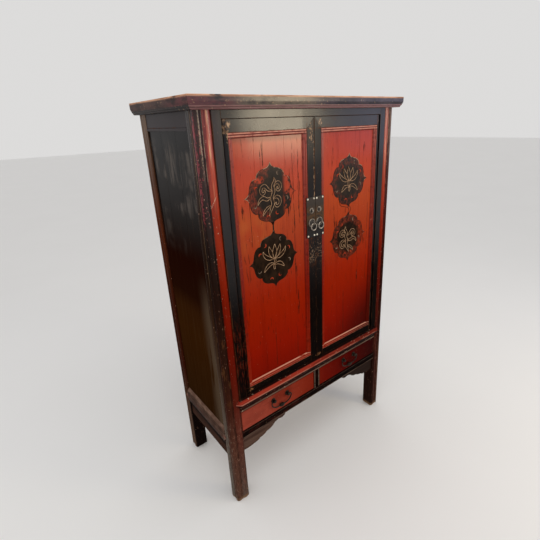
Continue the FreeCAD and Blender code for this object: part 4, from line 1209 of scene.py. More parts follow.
LOOKS = {
    "panel": panel_lacquer(),
    "stile": black_lacquer("door frame lacquer", 0.3, DOOR_ARRISES, bare=DOOR_BARE, most=0.5),
    "rail": black_lacquer(
        "door rail lacquer", 0.3, DOOR_ARRISES, grain="x", bare=DOOR_BARE[:3] + DOOR_BARE[6:], most=0.95
    ),
    "arris": black_lacquer("worn door arris", 1.5, under=(0.09, 0.036, 0.016)),
    "jamb": black_lacquer("jamb lacquer", 0.25, [("x", 461, 4)], most=0.85),
    "lintel": black_lacquer("lintel lacquer", 0.3, [("z", LINTEL_LOW, 4)], grain="x", most=0.95),
    "door_back": old_wood("door back wood", (0.1, 0.045, 0.024), (0.045, 0.02, 0.012), "z"),
    "reed": reed_lacquer(),
    "post": post_lacquer(),
    "cornice_front": cornice_lacquer(True),
    "cornice_side": cornice_lacquer(False),
    "top": top_lacquer(),
    "sill": sill_lacquer(),
    "drawer": drawer_lacquer(),
    "bottom_rail": beaded_lacquer("bottom rail lacquer", [("z", 391, 3.6), ("z", 362, 4.5)]),
    "divider": beaded_lacquer("drawer divider lacquer", [("x", 14, 7)]),
    "bracket": old_wood(
        "bracket wood", (0.098, 0.055, 0.039), (0.05, 0.025, 0.018), "x", 9, 0.45,
        # Painted shade: darker at the top under the rail and towards the right
        shade=[("z", 340, 356, 0.5), ("x", -250, 250, 0.88)],
    ),
    "side_panel": side_panel_lacquer(),
    "side_top_rail": black_lacquer("side top rail lacquer", 0.25, [("z", 1703, 4)], grain="y", most=0.4),
    "side_rail": side_rail_lacquer(),
    "apron": old_wood(
        "side apron wood", (0.06, 0.024, 0.013), (0.022, 0.0085, 0.005), "y", 9, 0.6,
        # Painted shadow: darker at the top under the rail
        shade=[("z", 284, 312, 0.95)],
    ),
    "inside": old_wood(
        "inside wood", (0.28, 0.155, 0.08), (0.13, 0.062, 0.032), "x", stain_colour=(0.09, 0.05, 0.03)
    ),
    "back": old_wood(
        "back board wood", (0.15, 0.08, 0.042), (0.06, 0.03, 0.017), "z", stain_colour=(0.04, 0.024, 0.016)
    ),
    "box": old_wood(
        "drawer side wood", (0.34, 0.2, 0.11), (0.17, 0.088, 0.046), "y", stain_colour=(0.1, 0.055, 0.03)
    ),
    "plate": plate_metal(),
    "nail": metal("nail head metal", (0.8, 0.74, 0.62), (0.45, 0.39, 0.3), 0.5, 0.35),
    "boss": metal("boss metal", (0.055, 0.048, 0.042), (0.022, 0.018, 0.016), 0.5, 0.4, 2.6, 0.2),
    "rim_metal": metal("rubbed rim metal", (0.3, 0.26, 0.22), (0.13, 0.11, 0.09), 0.6, 0.35),
    "ring": metal("ring metal", (0.44, 0.38, 0.32), (0.17, 0.14, 0.12), 0.6, 0.3, 1.3),
    "iron": metal("bail iron", (0.024, 0.015, 0.0085), (0.004, 0.0028, 0.002), 0.35, 0.36, 6.0, 0.16),
    "medallion": medallion_ground(),
    "gilt": gilt(),
    "rim": rim_line(),
    "curl": plain_paint("red crescent paint", (0.4, 0.05, 0.018), (0.28, 0.026, 0.009)),
    "pale_curl": plain_paint("grey crescent paint", (0.21, 0.15, 0.105), (0.085, 0.058, 0.04)),
    "scroll": plain_paint("scroll line paint", (0.02, 0.007, 0.004), (0.05, 0.014, 0.008)),
}


def dress(names, look):
    """Gives CAD nodes a finish in their own material slots."""
    for name in names:
        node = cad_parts[name]
        node = bpy.data.objects[node] if isinstance(node, str) else node
        if not node.data.materials:
            node.data.materials.append(None)
        for number in range(len(node.data.materials)):
            node.data.materials[number] = LOOKS[look]


dress(["cabinet_floor", "shelf", "drawer_deck", "drawer_guide"], "inside")
for side in ("left", "right"):
    dress([f"{side}_drawer_box", f"{side}_drawer_bottom"], "box")


# ---------------------------------------------------------------- top frame

def cornice_outline(outer):
    """Moulded edge in section: a flat, a round, a small step and two reeds that turn under."""
    return [
        (outer, TOP), (outer, TOP_FLAT), (outer + 4, TOP_ROUND, -1.2), (outer + 4.8, TOP_ROUND),
        (outer + 9.5, TOP_ROUND - TOP_REED, -1.9), (outer + 14.2, UNDER_TOP, -1.9),
        (outer + TOP_WIDTH, UNDER_TOP), (outer + TOP_WIDTH, TOP),
    ]


def top_frame():
    """Mitred top frame, its rear member, and three boards let in flush."""
    inner_x = TOP_OUT_X - TOP_WIDTH
    inner_y = TOP_OUT_Y + TOP_WIDTH
    front = swept("x", -TOP_OUT_X, TOP_OUT_X, cornice_outline(TOP_OUT_Y))
    for side in (-1, 1):
        sawn(front, (side * TOP_OUT_X, TOP_OUT_Y, 0), (side, 1, 0))
    softened(front, 0.9, angle=50)
    deliver(front, "cornice_front", "carcass", ["cornice_front"], "top_front_member")
    left = swept("y", TOP_OUT_Y, REAR, cornice_outline(-TOP_OUT_X))
    sawn(left, (-TOP_OUT_X, TOP_OUT_Y, 0), (1, -1, 0))
    softened(left, 0.9, angle=50)
    both(left, "cornice_*", "carcass", ["cornice_side"], "top_*_member")
    rear = softened(board(-inner_x, inner_x, REAR - TOP_WIDTH, REAR, UNDER_TOP, TOP), 1.2)
    deliver(rear, "top_rear_rail", "carcass", ["top"], "top_rear_member")
    boards = boarded(
        (inner_y, *TOP_SEAMS, REAR - TOP_WIDTH), 0.25, 0.8,
        lambda low, high: board(-inner_x, inner_x, low, high, TOP_BOARD_LOW, TOP - 0.3),
    )
    deliver(boards, "top_boards", "carcass", ["top"], "top_panel")


# ---------------------------------------------------------------- posts and front rails

def post(edge, way):
    """Left post at an edge of the body: the lobed outline run up from a slightly narrowed foot."""
    x = -POST_OUT
    outline = [
        (x + POST_WIDTH, edge + way * POST_WIDTH), (x + POST_WIDTH, edge + way * SET_IN),
        (x + LOBE, edge + way * SET_IN, SET_IN * way), (x + LOBE_TURN, edge + way * SET_IN, 2.5 * way),
        (x + SET_IN, edge + way * LOBE_TURN, 13.5 * way), (x + SET_IN, edge + way * LOBE, 2.5 * way),
        (x + SET_IN, edge + way * POST_WIDTH, SET_IN * way),
    ]
    piece = swept("z", FOOT, UNDER_TOP, outline, 10)
    bpy.ops.object.mode_set(mode="EDIT")
    bpy.ops.mesh.select_mode(type="FACE")
    bpy.ops.mesh.select_all(action="DESELECT")
    bpy.ops.object.mode_set(mode="OBJECT")
    for face in piece.data.polygons:
        face.select = face.normal.z < -0.9
    bpy.ops.object.mode_set(mode="EDIT")
    middle = Vector((x + POST_WIDTH / 2, edge + way * POST_WIDTH / 2, FOOT)) * MM
    bpy.ops.mesh.extrude_region_move(TRANSFORM_OT_translate={"value": (0, 0, -FOOT * MM)})
    bpy.ops.transform.resize(value=(0.9, 0.9, 1), center_override=middle)
    bpy.ops.mesh.select_mode(type="VERT")
    bpy.ops.object.mode_set(mode="OBJECT")
    return piece


def posts():
    """Four posts."""
    for place, edge, way in (("front", FRONT, 1), ("rear", REAR, -1)):
        both(post(edge, way), f"{place}_*_post", "carcass", ["post"], f"post_{place}_*")


def peg(x, low, high, radius, vertices):
    """An upright cylinder on the pivot line of a door."""
    put_down()
    bpy.ops.mesh.primitive_cylinder_add(
        vertices=vertices, radius=radius * MM, depth=(high - low) * MM,
        location=Vector((x, PIVOT_Y, (low + high) / 2)) * MM,
    )
    return bpy.context.object


def bored(piece, low, high):
    """Bores the holes of the pins of both doors."""
    for x in (PIVOT_X, -PIVOT_X):
        trimmed(piece, peg(x, low, high, PIN_HOLE, 40))
    return piece


def lintel():
    """Rail over the doors, bored for the upper door pins."""
    looks = ("lintel", "arris")
    face = finished(board(-JAMB_IN, JAMB_IN, FACE, JAMB_BACK, LINTEL_LOW, UNDER_TOP), looks)
    softened(bored(face, LINTEL_LOW - 5, LINTEL_LOW + PIN_HOLE_TOP), 1.0, worn=1)
    back = board(-POST_IN, POST_IN, JAMB_BACK, LINTEL_BACK, LINTEL_LOW, UNDER_TOP)
    rail = joined(face, softened(finished(back, looks)))
    deliver(rail, "lintel_rail", "carcass", looks, "front_top_rail")


def jambs():
    """Strips between the posts and the doors."""
    looks = ("jamb", "arris")
    left = finished(board(-POST_IN, -JAMB_IN, FACE, JAMB_BACK, SILL_TOP, UNDER_TOP), looks)
    both(softened(left, 1.2, worn=1), "*_jamb", "carcass", looks, "*_jamb_strip")


def sill():
    """Door sill: a ridged nose with pointed ends over a bead, bored for the lower door pins."""
    nose = swept("x", -SILL_END, SILL_END, [
        (NOSE_BACK, SILL_NOSE_LOW), (FRONT, SILL_NOSE_LOW), (SILL_TIP, SILL_RIDGE, -2.5),
        (FACE, SILL_TOP, 1.5), (NOSE_BACK, SILL_TOP),
    ])
    for side in (-1, 1):
        sawn(nose, (side * SILL_END, 0, SILL_RIDGE), (side * (SILL_TOP - SILL_RIDGE), 0, SILL_POINT))
        sawn(nose, (side * SILL_END, 0, SILL_RIDGE), (side * (SILL_RIDGE - SILL_NOSE_LOW), 0, -SILL_POINT))
        sawn(nose, (side * SILL_END, FRONT, 0), (side * (FRONT - SILL_TIP), -SILL_TAPER, 0))
    softened(nose, 0.7, angle=25)
    body = swept("x", -POST_IN, POST_IN, [
        (SILL_BACK, SILL_LOW), (RAIL_FACE, SILL_LOW), (RAIL_FACE, SILL_NOSE_LOW, 4), (FRONT, SILL_NOSE_LOW),
        (FACE + 2, SILL_TOP), (SILL_BACK, SILL_TOP),
    ])
    bored(body, SILL_TOP - PIN_HOLE_LOW, SILL_TOP + 5)
    deliver(joined(body, nose), "door_sill", "carcass", ["sill"], "door_sill_rail")


def bottom_rail():
    """Rail under the drawers, with a bead along both edges."""
    piece = swept("x", -POST_IN, POST_IN, [
        (RAIL_BACK, RAIL_LOW), (RAIL_FACE, RAIL_LOW), (RAIL_FACE, RAIL_LOW + BEAD, 4),
        (RAIL_FACE, RAIL_TOP - BEAD), (RAIL_FACE, RAIL_TOP, 4), (RAIL_BACK, RAIL_TOP),
    ])
    deliver(piece, "bottom_rail", "carcass", ["bottom_rail"], "front_bottom_rail")


def divider():
    """Upright between the drawers: two beads and a groove."""
    edge, groove = 20, 8
    piece = swept("z", RAIL_TOP, SILL_LOW, [
        (edge, RAIL_BACK), (edge, RAIL_FACE), (groove, RAIL_FACE, 4), (groove, RAIL_FACE + 4),
        (-groove, RAIL_FACE + 4), (-groove, RAIL_FACE), (-edge, RAIL_FACE, 4), (-edge, RAIL_BACK),
    ])
    deliver(piece, "drawer_upright", "carcass", ["divider"], "drawer_divider")


def brackets():
    """Cusped brackets under the bottom rail."""
    outline = [(-POST_IN, RAIL_LOW), (-POST_IN, RAIL_LOW - BRACKET_HEIGHT)]
    for along, down, bow in BRACKET_CUSPS:
        outline.append((
            -POST_IN + along * BRACKET_LENGTH, RAIL_LOW - down * BRACKET_HEIGHT, bow * BRACKET_HEIGHT
        ))
    outline.append((-POST_IN + BRACKET_LENGTH, RAIL_LOW))
    left = softened(swept("y", BRACKET_FRONT, BRACKET_BACK, outline), 1.4, 3, 50)
    both(left, "*_bracket", "carcass", ["bracket"], "*_front_bracket")


# ---------------------------------------------------------------- sides and back

def sides():
    """Rails, boarded panels and aprons of both sides."""
    face, inner = SIDE_TOP_RAIL
    top_rail = swept("y", SIDE_FRONT, SIDE_REAR, [
        (inner, SIDE_PANEL_TOP), (face, SIDE_PANEL_TOP), (face, SIDE_PANEL_TOP + BEAD, 3),
        (face, UNDER_TOP), (inner, UNDER_TOP),
    ])
    both(top_rail, "*_upper_rail", "carcass", ["side_top_rail"], "*_side_top_rail")
    boards = boarded(
        (SIDE_FRONT - TONGUE, *SIDE_SEAMS, SIDE_REAR + TONGUE), 0.25, 0.8,
        lambda low, high: board(*SIDE_PANEL, low, high, SIDE_PANEL_LOW - TONGUE, SIDE_PANEL_TOP + TONGUE),
    )
    both(boards, "*_side_boards", "carcass", ["side_panel"], "*_side_panel")
    face, inner = SIDE_LOW_RAIL
    rail = swept("y", SIDE_FRONT, SIDE_REAR, [
        (inner, SIDE_RAIL_LOW), (-POST_OUT, SIDE_RAIL_LOW), (-POST_OUT, SIDE_BAND, 4), (face, SIDE_PANEL_LOW),
        (inner, SIDE_PANEL_LOW),
    ])
    nose = swept("y", SIDE_FRONT - SIDE_NOSE, SIDE_REAR + SIDE_NOSE, [
        (SIDE_NOSE_BACK, SIDE_RAIL_LOW), (-POST_OUT, SIDE_RAIL_LOW), (-POST_OUT, SIDE_BAND, 4),
        (SIDE_NOSE_BACK, SIDE_BAND),
    ])
    middle = (SIDE_BAND + SIDE_RAIL_LOW) / 2
    half = SIDE_BAND - middle
    for end, way in ((SIDE_FRONT, -1), (SIDE_REAR, 1)):
        for rise in (-1, 1):
            sawn(nose, (0, end + way * SIDE_NOSE, middle), (0, way * half, rise * SIDE_NOSE))
    both(joined(rail, nose), "*_lower_rail", "carcass", ["side_rail"], "*_side_bottom_rail")
    apron = board(*SIDE_APRON, SIDE_FRONT - TONGUE, SIDE_REAR + TONGUE, APRON_LOW, SIDE_RAIL_LOW)
    both(softened(apron, 1.4, 3), "*_apron", "carcass", ["apron"], "*_side_apron")


def back():
    """Rear rails and the boards between them."""
    for name, node, low, high in (
        ("back_upper_rail", "rear_top_rail", SIDE_PANEL_TOP, UNDER_TOP),
        ("back_lower_rail", "rear_bottom_rail", SIDE_RAIL_LOW, SIDE_PANEL_LOW),
    ):
        rail = softened(board(-POST_IN, POST_IN, *BACK_RAIL, low, high), 1.2)
        deliver(rail, name, "carcass", ["back"], node)
    edge = POST_IN + TONGUE
    boards = boarded(
        (-edge, *BACK_SEAMS, edge), 0.4, 1.0,
        lambda low, high: board(low, high, *BACK_BOARDS, SIDE_PANEL_LOW - TONGUE, SIDE_PANEL_TOP + TONGUE),
    )
    deliver(boards, "back_boards", "carcass", ["back"], "back_panel")


# ---------------------------------------------------------------- doors

def moulding(low, high, edge, way, upright):
    """Two reeds that step down towards the panel, run between two ends."""
    first = edge + way * 9
    second = edge + way * 18
    inner = edge + way * MOULDING
    start = FACE + 2.5
    bow = 2.2 * way
    if upright:
        return swept("z", low, high, [
            (edge, start), (first, start, -bow), (first, start + 1.5), (second, start + 4.5, -bow),
            (inner, PANEL_FACE), (edge, PANEL_FACE),
        ], 6)
    return swept("x", low, high, [
        (start, edge), (start, first, bow), (start + 1.5, first), (start + 4.5, second, bow),
        (PANEL_FACE, inner), (PANEL_FACE, edge),
    ], 6)


def door_plan():
    """A tool with the door's plan, round at the hinge edge."""
    bow = HINGE_ROUND * (1 - math.sqrt(2) / 2)
    return swept("z", DOOR_LOW - 1, DOOR_TOP + 1, [
        (PIVOT_X, FACE), (MEETING_EDGE + 5, FACE), (MEETING_EDGE + 5, DOOR_BACK), (PIVOT_X, DOOR_BACK),
        (HINGE_EDGE, PIVOT_Y, -bow), (PIVOT_X, FACE, -bow),
    ], 10)


def door_member(name, upright, outer, inner, behind, way):
    """One member of the left door frame: its mitred front, its back and its run of moulding."""
    if upright:
        corners = [(outer, DOOR_LOW), (inner, FLAT_LOW), (inner, FLAT_TOP), (outer, DOOR_TOP)]
        back = board(*sorted((outer, behind)), PANEL_FACE, DOOR_BACK, DOOR_LOW, DOOR_TOP)
    else:
        corners = [(HINGE_EDGE, outer), (FLAT_LEFT, inner), (FLAT_RIGHT, inner), (MEETING_EDGE, outer)]
        back = board(IN_LEFT, IN_RIGHT, PANEL_FACE, DOOR_BACK, *sorted((outer, behind)))
    front = swept("y", FACE, PANEL_FACE, corners)
    if name != "meeting_stile":
        trimmed(front, door_plan(), "INTERSECT")
    if name == "hinge_stile":
        trimmed(back, door_plan(), "INTERSECT")
    looks = ("stile" if upright else "rail", "reed", "arris", "door_back")
    softened(finished(front, looks), 0.6, worn=2)
    softened(finished(back, looks, 3))
    run = (FLAT_LOW, FLAT_TOP) if upright else (FLAT_LEFT, FLAT_RIGHT)
    strip = moulding(*run, inner, way, upright)
    for (x, z), end in zip(corners[1:3], (-1, 1)):
        sawn(strip, (x, 0, z), (way, 0, end) if upright else (end, 0, way))
    parts = [front, back, finished(strip, looks, 1)]
    if name == "hinge_stile":
        for low, high in ((DOOR_LOW - PIN_LOW, DOOR_LOW + 1), (DOOR_TOP - 1, DOOR_TOP + PIN_TOP)):
            pin = peg(PIVOT_X, low, high, PIN, 36)
            settle()
            parts.append(softened(finished(pin, looks, 3), 1.0))
    return joined(*parts)


def doors():
    """Both door leaves: the four members of the frame, and a panel of three boards."""
    for name, *plan in (
        ("hinge_stile", True, HINGE_EDGE, FLAT_LEFT, IN_LEFT, 1),
        ("meeting_stile", True, MEETING_EDGE, FLAT_RIGHT, IN_RIGHT, -1),
        ("top_rail", False, DOOR_TOP, FLAT_TOP, IN_TOP, -1),
        ("bottom_rail", False, DOOR_LOW, FLAT_LOW, IN_LOW, 1),
    ):
        both(door_member(name, *plan), f"*_leaf_{name}", "*_door", [], f"*_door_{name}")
    panel = boarded(
        (IN_LEFT - TONGUE, *PANEL_SEAMS, IN_RIGHT + TONGUE), 0.12, 0.5,
        lambda low, high: board(low, high, PANEL_FACE, PANEL_BACK, IN_LOW - TONGUE, IN_TOP + TONGUE),
    )
    both(panel, "*_leaf_panel", "*_door", ["panel"], "*_door_panel")


# ---------------------------------------------------------------- medallions

# A quarter of a medallion's outline, from the upper tip to the middle of a side lobe
QUARTER = (
    (0, 127), (2.5, 120), (6.5, 114), (12, 109), (20, 105.4), (30, 103.4), (41, 101), (52, 96.6),
    (61.5, 89.4),
    (67.5, 80), (68.5, 68.5),
)

# Brush strokes of the ornaments, from back to front: across, up and half width along each
CLOUD_SPRAY = (
    ((4, -40, 1), (-12, -47, 5), (-26, -60, 4.5), (-34, -75, 0.6)),
    ((2, -6, 1), (-16, -13, 6), (-36, -5, 6.5), (-52, -13, 5), (-60, -29, 0.6)),
    ((14, -16, 1), (30, -8, 5.5), (46, -18, 6), (48, -36, 5.5), (36, -46, 5), (25, -38, 3.5), (29, -30, 1.2)),
    ((6, 18, 1), (-12, 24, 5), (-30, 40, 6.5), (-45, 36, 6), (-48, 20, 5.5), (-38, 11, 5), (-29, 18, 3.5),
     (-33, 26, 1.2)),
    ((14, 34, 1), (28, 48, 5), (43, 42, 6), (46, 26, 5.5), (36, 17, 4.5), (28, 24, 3), (32, 31, 1.2)),
    ((12, 68, 0.6), (15, 54, 5), (8, 36, 6.5), (13, 14, 7), (6, -10, 6.5), (12, -34, 7), (4, -56, 5),
     (-4, -78, 0.6)),
)
LOTUS_SPRAY = (
    ((0, 4, 4), (4, -12, 4), (-2, -28, 4), (1, -46, 3.5)),
    ((0, -24, 1), (-16, -19, 5), (-32, -24, 7), (-46, -36, 4.5), (-54, -47, 0.6)),
    ((0, -28, 1), (16, -22, 5), (32, -26, 7), (45, -37, 4), (52, -45, 0.6)),
    ((-7, 2, 1), (-26, 7, 7), (-43, 17, 7.5), (-55, 31, 4.5), (-59, 44, 0.6)),
    ((7, 2, 1), (26, 7, 7), (43, 17, 7.5), (55, 31, 4.5), (59, 44, 0.6)),
    ((-4, 4, 1), (-14, 19, 8), (-22, 35, 8.5), (-27, 49, 5), (-29, 60, 0.6)),
    ((4, 4, 1), (14, 19, 8), (22, 35, 8.5), (27, 49, 5), (29, 60, 0.6)),
    ((0, 2, 1), (0, 20, 9), (0, 37, 10.5), (0, 52, 6), (0, 66, 0.6)),
)
SCROLL = (
    (-62, 1356, 1), (-50, 1337, 5), (-24, 1329, 6), (0, 1322, 6), (9, 1306, 6), (1, 1288, 4), (-6, 1276, 1),
)


def medallion_outline(size=1.0):
    """Eight lobes with four pointed tips, from one quarter turned round."""
    half = list(QUARTER) + [(b, a) for a, b in reversed(QUARTER[:-1])]
    outline = []
    for turn in range(4):
        for a, b in half[:-1]:
            for _ in range(turn):
                a, b = b, -a
            outline.append((a * size, b * size))
    return outline


def brush_stroke(line):
    """The outline of a brush stroke, from its middle line and half widths."""
    middle = smooth_line(line, 5)
    left, right = [], []
    for number, (a, b, half) in enumerate(middle):
        before = middle[max(number - 1, 0)]
        after = middle[min(number + 1, len(middle) - 1)]
        run = math.hypot(after[0] - before[0], after[1] - before[1])
        across = ((before[1] - after[1]) / run * half, (after[0] - before[0]) / run * half)
        left.append((a + across[0], b + across[1]))
        right.append((a - across[0], b - across[1]))
    return left + right[::-1]


def painted(front, outline):
    """A thin layer on a door panel, within an outline."""
    return swept("y", front, PANEL_FACE + 0.1, outline, 1)


def drawn(front, outline, radius, share):
    """A painted line along an outline, pressed flat."""
    return wire([(a, front, b) for a, b in outline], radius, closed=True, sides=1, press=share)


def ornament(strokes, x, z, lean, size, mirror):
    """Raised strokes with gilt outlines, each a little in front of the one before."""
    looks = ("gilt", "medallion")
    parts = []
    for number, line in enumerate(strokes):
        outline = [
            (x + (a * size[0] + lean * b) * mirror, z + b * size[1]) for a, b in brush_stroke(line)
        ]
        front = PANEL_FACE - 0.7 - 0.3 * number
        parts.append(finished(swept("y", front, PANEL_FACE - 0.2, outline, 1), looks, 1))
        parts.append(finished(drawn(front, outline, 1.05, (front, 0.5)), looks, 0))
    return joined(*parts)


def crescent(size):
    """A small crescent, thick in the middle."""
    outer = [math.radians(angle) for angle in range(-110, 111, 20)]
    inner = [math.radians(angle) for angle in range(70, -71, -20)]
    return [(size * math.cos(a), size * math.sin(a)) for a in outer] + [
        (size * -0.504 + size * 0.954 * math.cos(a), size * 0.954 * math.sin(a)) for a in inner
    ]


def crescents(x, z):
    """Eight little crescents round a medallion, each turned its own way."""
    parts = []
    for number in range(8):
        angle = math.radians(26 + 45 * number + 8 * math.sin(number * 2.3 + z))
        out = 84 + 6 * math.sin(number * 1.7)
        spin = angle + number * 1.9
        outline = [
            (
                x + out * math.cos(angle) + a * math.cos(spin) - b * math.sin(spin),
                z + out * math.sin(angle) + a * math.sin(spin) + b * math.cos(spin),
            )
            for a, b in crescent(8.2 + 1.4 * math.sin(number * 3.1))
        ]
        layer = swept("y", PAINT_FACE - 0.35, PAINT_FACE + 0.1, outline, 1)
        parts.append(finished(layer, ("curl", "pale_curl"), 1 if number % 3 == 1 else 0))
    return joined(*parts)


def medallions():
    """Four medallions, the neck that joins the left pair and the scroll that joins the right pair."""
    for side, mirror, level, strokes, place, lean, size in (
        ("left", 1, "upper", CLOUD_SPRAY, (-4, -3), 0.1, (1.0, 1.0)),
        ("left", 1, "lower", LOTUS_SPRAY, (-1, 1), 0.04, (0.98, 0.98)),
        ("right", -1, "upper", LOTUS_SPRAY, (0, -2), 0.1, (1.02, 1.0)),
        ("right", -1, "lower", CLOUD_SPRAY, (-3, -8), 0.06, (1.02, 0.9)),
    ):
        x = MEDALLION_X * mirror
        z = MEDALLION_UPPER if level == "upper" else MEDALLION_LOWER
        name = f"{side}_{level}_"
        body = f"{side}_door"
        ground = painted(PAINT_FACE, [(x + a, z + b) for a, b in medallion_outline()])
        deliver(ground, name + "medallion", body, ["medallion"])
        around = [(x + a, z + b) for a, b in medallion_outline(0.988)]
        rim = drawn(PAINT_FACE - 0.1, around, 1.0, (PAINT_FACE, 0.4))
        deliver(rim, name + "rim", body, ["rim"])
        deliver(crescents(x, z), name + "crescents", body, [])
        raised = ornament(strokes, x + place[0], z + place[1], lean, size, mirror)
        deliver(raised, name + "ornament", body, [])
    edge = ((7, 1330), (3, 1318), (3.5, 1308), (3, 1298), (7, 1286))
    x = MEDALLION_X + 2
    outline = [(x - 7, 1330)] + [(x + a, z) for a, z in edge] + [(x - a, z) for a, z in edge[:0:-1]]
    neck = painted(PAINT_FACE, outline)
    deliver(neck, "left_medallion_neck", "left_door", ["medallion"])
    front = PANEL_FACE - 0.3
    line = [(-MEDALLION_X + a, z) for a, z in brush_stroke(SCROLL)]
    scroll = drawn(front, line, 1.3, (front, 0.4))
    deliver(scroll, "right_medallion_scroll", "right_door", ["scroll"])


# ---------------------------------------------------------------- door fittings

def plate():
    """Left lock plate with slightly rounded corners."""
    return softened(board(PLATE_OUT, MEETING_EDGE, PLATE_FACE, FACE, PLATE_LOW, PLATE_TOP), 0.6)


def nails():
    """Four nails of the left plate, domed heads on their shanks, copied from one."""
    outline = [(0, -2.5), (1.8, -2.3), (3.3, -1.6), (4.2, -0.7), (4.5, 0.0), (1.5, 0.0), (1.5, 16), (0, 16)]
    first = turned(outline, PLATE_OUT + NAIL_IN, PLATE_FACE, PLATE_LOW + NAIL_IN, steps=20)
    made = [first]
    wide = MEETING_EDGE - PLATE_OUT - 2 * NAIL_IN
    high = PLATE_TOP - PLATE_LOW - 2 * NAIL_IN
    for move in ((0, 0, high), (wide, 0, 0), (wide, 0, high)):
        nail = copied(first)
        nail.data.transform(Matrix.Translation(Vector(move) * MM))
        made.append(nail)
    return joined(*made)


def eye(x, y, z, radius, root, thick):
    """A wire loop that looks to the front, its two ends run straight back into the wood."""
    points = [(x, root, z - radius)]
    for step in range(13):
        angle = math.radians(-90 + 180 * step / 12)
        points.append((x, y - radius * math.cos(angle), z + radius * math.sin(angle)))
    return wire(points + [(x, root, z + radius)], thick)


def staple_and_boss():
    """Left padlock staple on its small collar, and the domed boss with the eye that holds the ring."""
    looks = ("boss", "rim_metal")
    staple = eye(KNOB_X, PLATE_FACE, STAPLE_Z, STAPLE_RADIUS, PLATE_FACE + 12, STAPLE_WIRE)
    parts = [finished(staple, looks, 1)]
    for z, number, steps, outline in (
        (STAPLE_Z, 0, 28, [(0, -1.2), (9, -1.2), (9.8, -0.6), (9.8, 0.0), (0, 0.0)]),
        (STAPLE_Z, 1, 28, [(9, 0), (9.2, -1.4), (10.4, -2.2), (11.8, -1.8), (12.6, -0.6), (12.6, 0.0),
        (9, 0)]),
        (BOSS_Z, 0, 36, [
            (0, -10), (4.5, -9.5), (8.5, -8.0), (11.5, -5.9), (13.8, -3.2), (15.4, -1.6), (15.4, 0), (0, 0),
        ]),
        (BOSS_Z, 1, 36, [(15, 0), (15.2, -2.2), (16.4, -3.2), (17.8, -2.8), (18.7, -1.5), (19, 0), (15, 0)]),
    ):
        parts.append(finished(turned(outline, KNOB_X, PLATE_FACE, z, steps=steps), looks, number))
    ring_eye = eye(KNOB_X, RING_Y, BOSS_Z, EYE_RADIUS, PLATE_FACE - 1, EYE_WIRE)
    parts.append(finished(ring_eye, looks, 1))
    return joined(*parts)


def pull_ring():
    """Left pull ring, a little heavier at the bottom."""
    angles = [2 * math.pi * step / 40 for step in range(40)]
    points = [
        (KNOB_X + RING_RADIUS * math.sin(a), RING_Y, RING_Z - RING_RADIUS + RING_RADIUS * math.cos(a))
        for a in angles
    ]
    return wire(points, [RING_WIRE - 0.15 * math.cos(a) for a in angles], closed=True)


# ---------------------------------------------------------------- drawers

def drawer_front():
    """Left drawer front, a flush board with broken edges."""
    return softened(
        board(DRAWER_OUT, DRAWER_IN, DRAWER_FACE, DRAWER_FRONT_BACK, DRAWER_LOW, DRAWER_TOP), 1.2, 3
    )


def bail_posts():
    """Two eyed posts of the left drawer, each on a turned rosette."""
    rosette = [(0, -2.0), (7.0, -2.0), (8.6, -3.2), (10.8, -2.9), (12.5, -1.2), (12.5, 0.0), (0, 0.0)]
    head = [
        (0, -8.6), (3.6, -7.9), (6.3, -5.9), (8.1, -2.8), (8.6, 0.2), (8.0, 3.3), (6.1, 6.1), (3.8, 7.9),
        (3.4, 30), (0, 30),
    ]
    made = []
    for side in (-1, 1):
        x = BAIL_X + side * BAIL_SPACING / 2
        made += [turned(rosette, x, DRAWER_FACE, BAIL_Z), turned(head, x, BAIL_Y, BAIL_Z)]
    return joined(*made)


def bail():
    """Left drawer bail: a swept wire hung in both posts, with a knop in the middle."""
    half = BAIL_SPACING / 2
    right_run = [
        (half - 10, 0), (half, 0), (half + 10, -0.2), (half + 14.8, -2.4), (half + 17, -7.6),
        (half + 16.6, -14.6), (half + 13.6, -22.4), (half + 8, -29.4), (half, -34.8), (half - 10, -38.8),
        (half - 20, 0.1 - BAIL_DROP), (0, -BAIL_DROP),
    ]
    line = right_run + [(-a, b) for a, b in reversed(right_run[:-1])]
    handle = wire(smooth_line([(BAIL_X + a, BAIL_Y, BAIL_Z + b) for a, b in line], 3), BAIL_WIRE)
    side = [(9.5, 0), (9.0, 5), (7.2, 9.6), (5.2, 11.8), (5.6, 13.4), (3.8, 15), (0, 15)]
    knop = [(out, -along) for out, along in side[:0:-1]] + side
    return joined(handle, turned(knop, BAIL_X, BAIL_Y, BAIL_Z - BAIL_DROP, "x", 24))


def fittings(*rows):
    """Makes the left one of each thing and delivers it with its mirrored copy."""
    for make, name, body, look, slot, node in rows:
        both(make(), name, body, [look], node)


# ---------------------------------------------------------------- the making

top_frame()
posts()
lintel()
jambs()
sill()
bottom_rail()
divider()
brackets()
sides()
back()
doors()
medallions()
fittings(
    (plate, "*_plate", "*_door", "plate", "grey_brass", "*_lock_plate"),
    (nails, "*_nails", "*_door", "nail", "pale_nail", "*_plate_nails"),
    (staple_and_boss, "*_boss", "*_door", "boss", "grey_brass", "*_staple_and_boss"),
    (pull_ring, "*_ring_pull", "*_ring", "ring", "grey_brass", "*_pull_ring"),
    (drawer_front, "*_drawer_face", "*_drawer", "drawer", "drawer_lacquer", "*_drawer_front"),
    (bail_posts, "*_bail_eyes", "*_drawer", "iron", "black_iron", "*_bail_posts"),
    (bail, "*_bail_handle", "*_bail", "iron", "black_iron", "*_drawer_bail"),
)


# ---------------------------------------------------------------- floor, light and camera

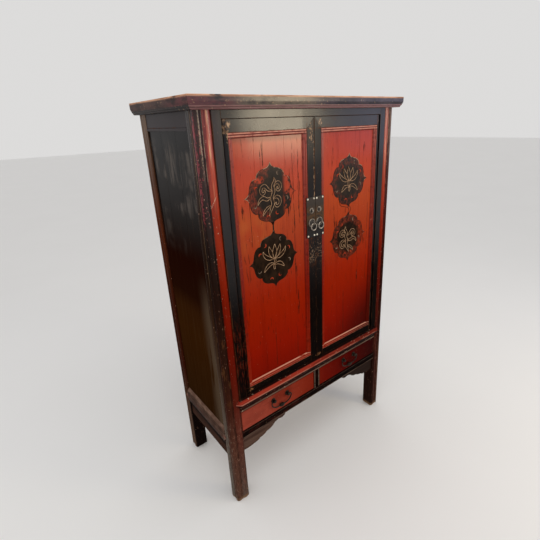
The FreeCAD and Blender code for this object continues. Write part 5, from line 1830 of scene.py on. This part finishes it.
def studio():
    """Pale floor and an even white room light."""
    put_down()
    bpy.ops.mesh.primitive_plane_add(size=60, location=(0, 0, 0))
    floor = bpy.context.object
    floor.name = "floor"
    look = Look("studio floor", specular=0.2)
    pale = look.mix(look.mottle(900), (0.83, 0.825, 0.82), (0.86, 0.855, 0.85))
    floor.data.materials.append(look.finish(pale, 0.7))
    world = bpy.data.worlds.new("studio")
    bpy.context.scene.world = world
    world.use_nodes = True
    sky = next(n for n in world.node_tree.nodes if n.type == "BACKGROUND")
    sky.inputs["Color"].default_value = (1.0, 0.99, 0.98, 1)
    sky.inputs["Strength"].default_value = 0.72


def lamp(name, place, target, size, power, colour=(1, 1, 1)):
    """A soft rectangular lamp that looks at a point."""
    put_down()
    bpy.ops.object.light_add(type="AREA", location=place)
    made = bpy.context.object
    made.name = name
    made.data.shape = "RECTANGLE"
    made.data.size, made.data.size_y = size
    made.data.energy = power
    made.data.color = colour
    way = Vector(target) - Vector(place)
    made.rotation_mode = "QUATERNION"
    made.rotation_quaternion = way.to_track_quat("-Z", "Y")


def camera():
    """Camera at the photograph's place and angle."""
    yaw, pitch, roll = (math.radians(value) for value in CAMERA_TURN)
    forward = Vector((math.sin(yaw) * math.cos(pitch), math.cos(yaw) * math.cos(pitch), math.sin(pitch)))
    level = Vector((math.cos(yaw), -math.sin(yaw), 0))
    upright = level.cross(forward)
    right = level * math.cos(roll) + upright * math.sin(roll)
    up = upright * math.cos(roll) - level * math.sin(roll)
    bpy.ops.object.camera_add()
    made = bpy.context.object
    rows = [(right[k], up[k], -forward[k], CAMERA_PLACE[k]) for k in range(3)]
    made.matrix_world = Matrix(rows + [(0, 0, 0, 1)])
    made.data.sensor_width = FILM
    made.data.lens = FOCAL / PICTURE * FILM
    made.data.shift_x = (PICTURE / 2 - CENTRE[0]) / PICTURE
    made.data.shift_y = (CENTRE[1] - PICTURE / 2) / PICTURE
    made.data.clip_start, made.data.clip_end = 0.05, 100
    bpy.context.scene.camera = made


studio()
lamp("ceiling", (-0.4, -1.4, 3.4), (0, 0, 0.9), (2.6, 2.0), 18.2)
lamp("window", (1.8, -2.74, 1.76), (-0.1, -0.2, 1.6), (0.82, 0.86), 21.5, (1, 0.85, 0.6))
lamp("far_window", (2.85, -2.1, 1.8), (0.3, -0.2, 1.6), (1.1, 1.0), 5.2, (0.62, 0.66, 1.0))
lamp("side_window", (-3.0, 1.2, 2.0), (-0.5, 0, 1.1), (1.4, 1.2), 6)
camera()
bpy.context.scene.view_settings.view_transform = "Standard"
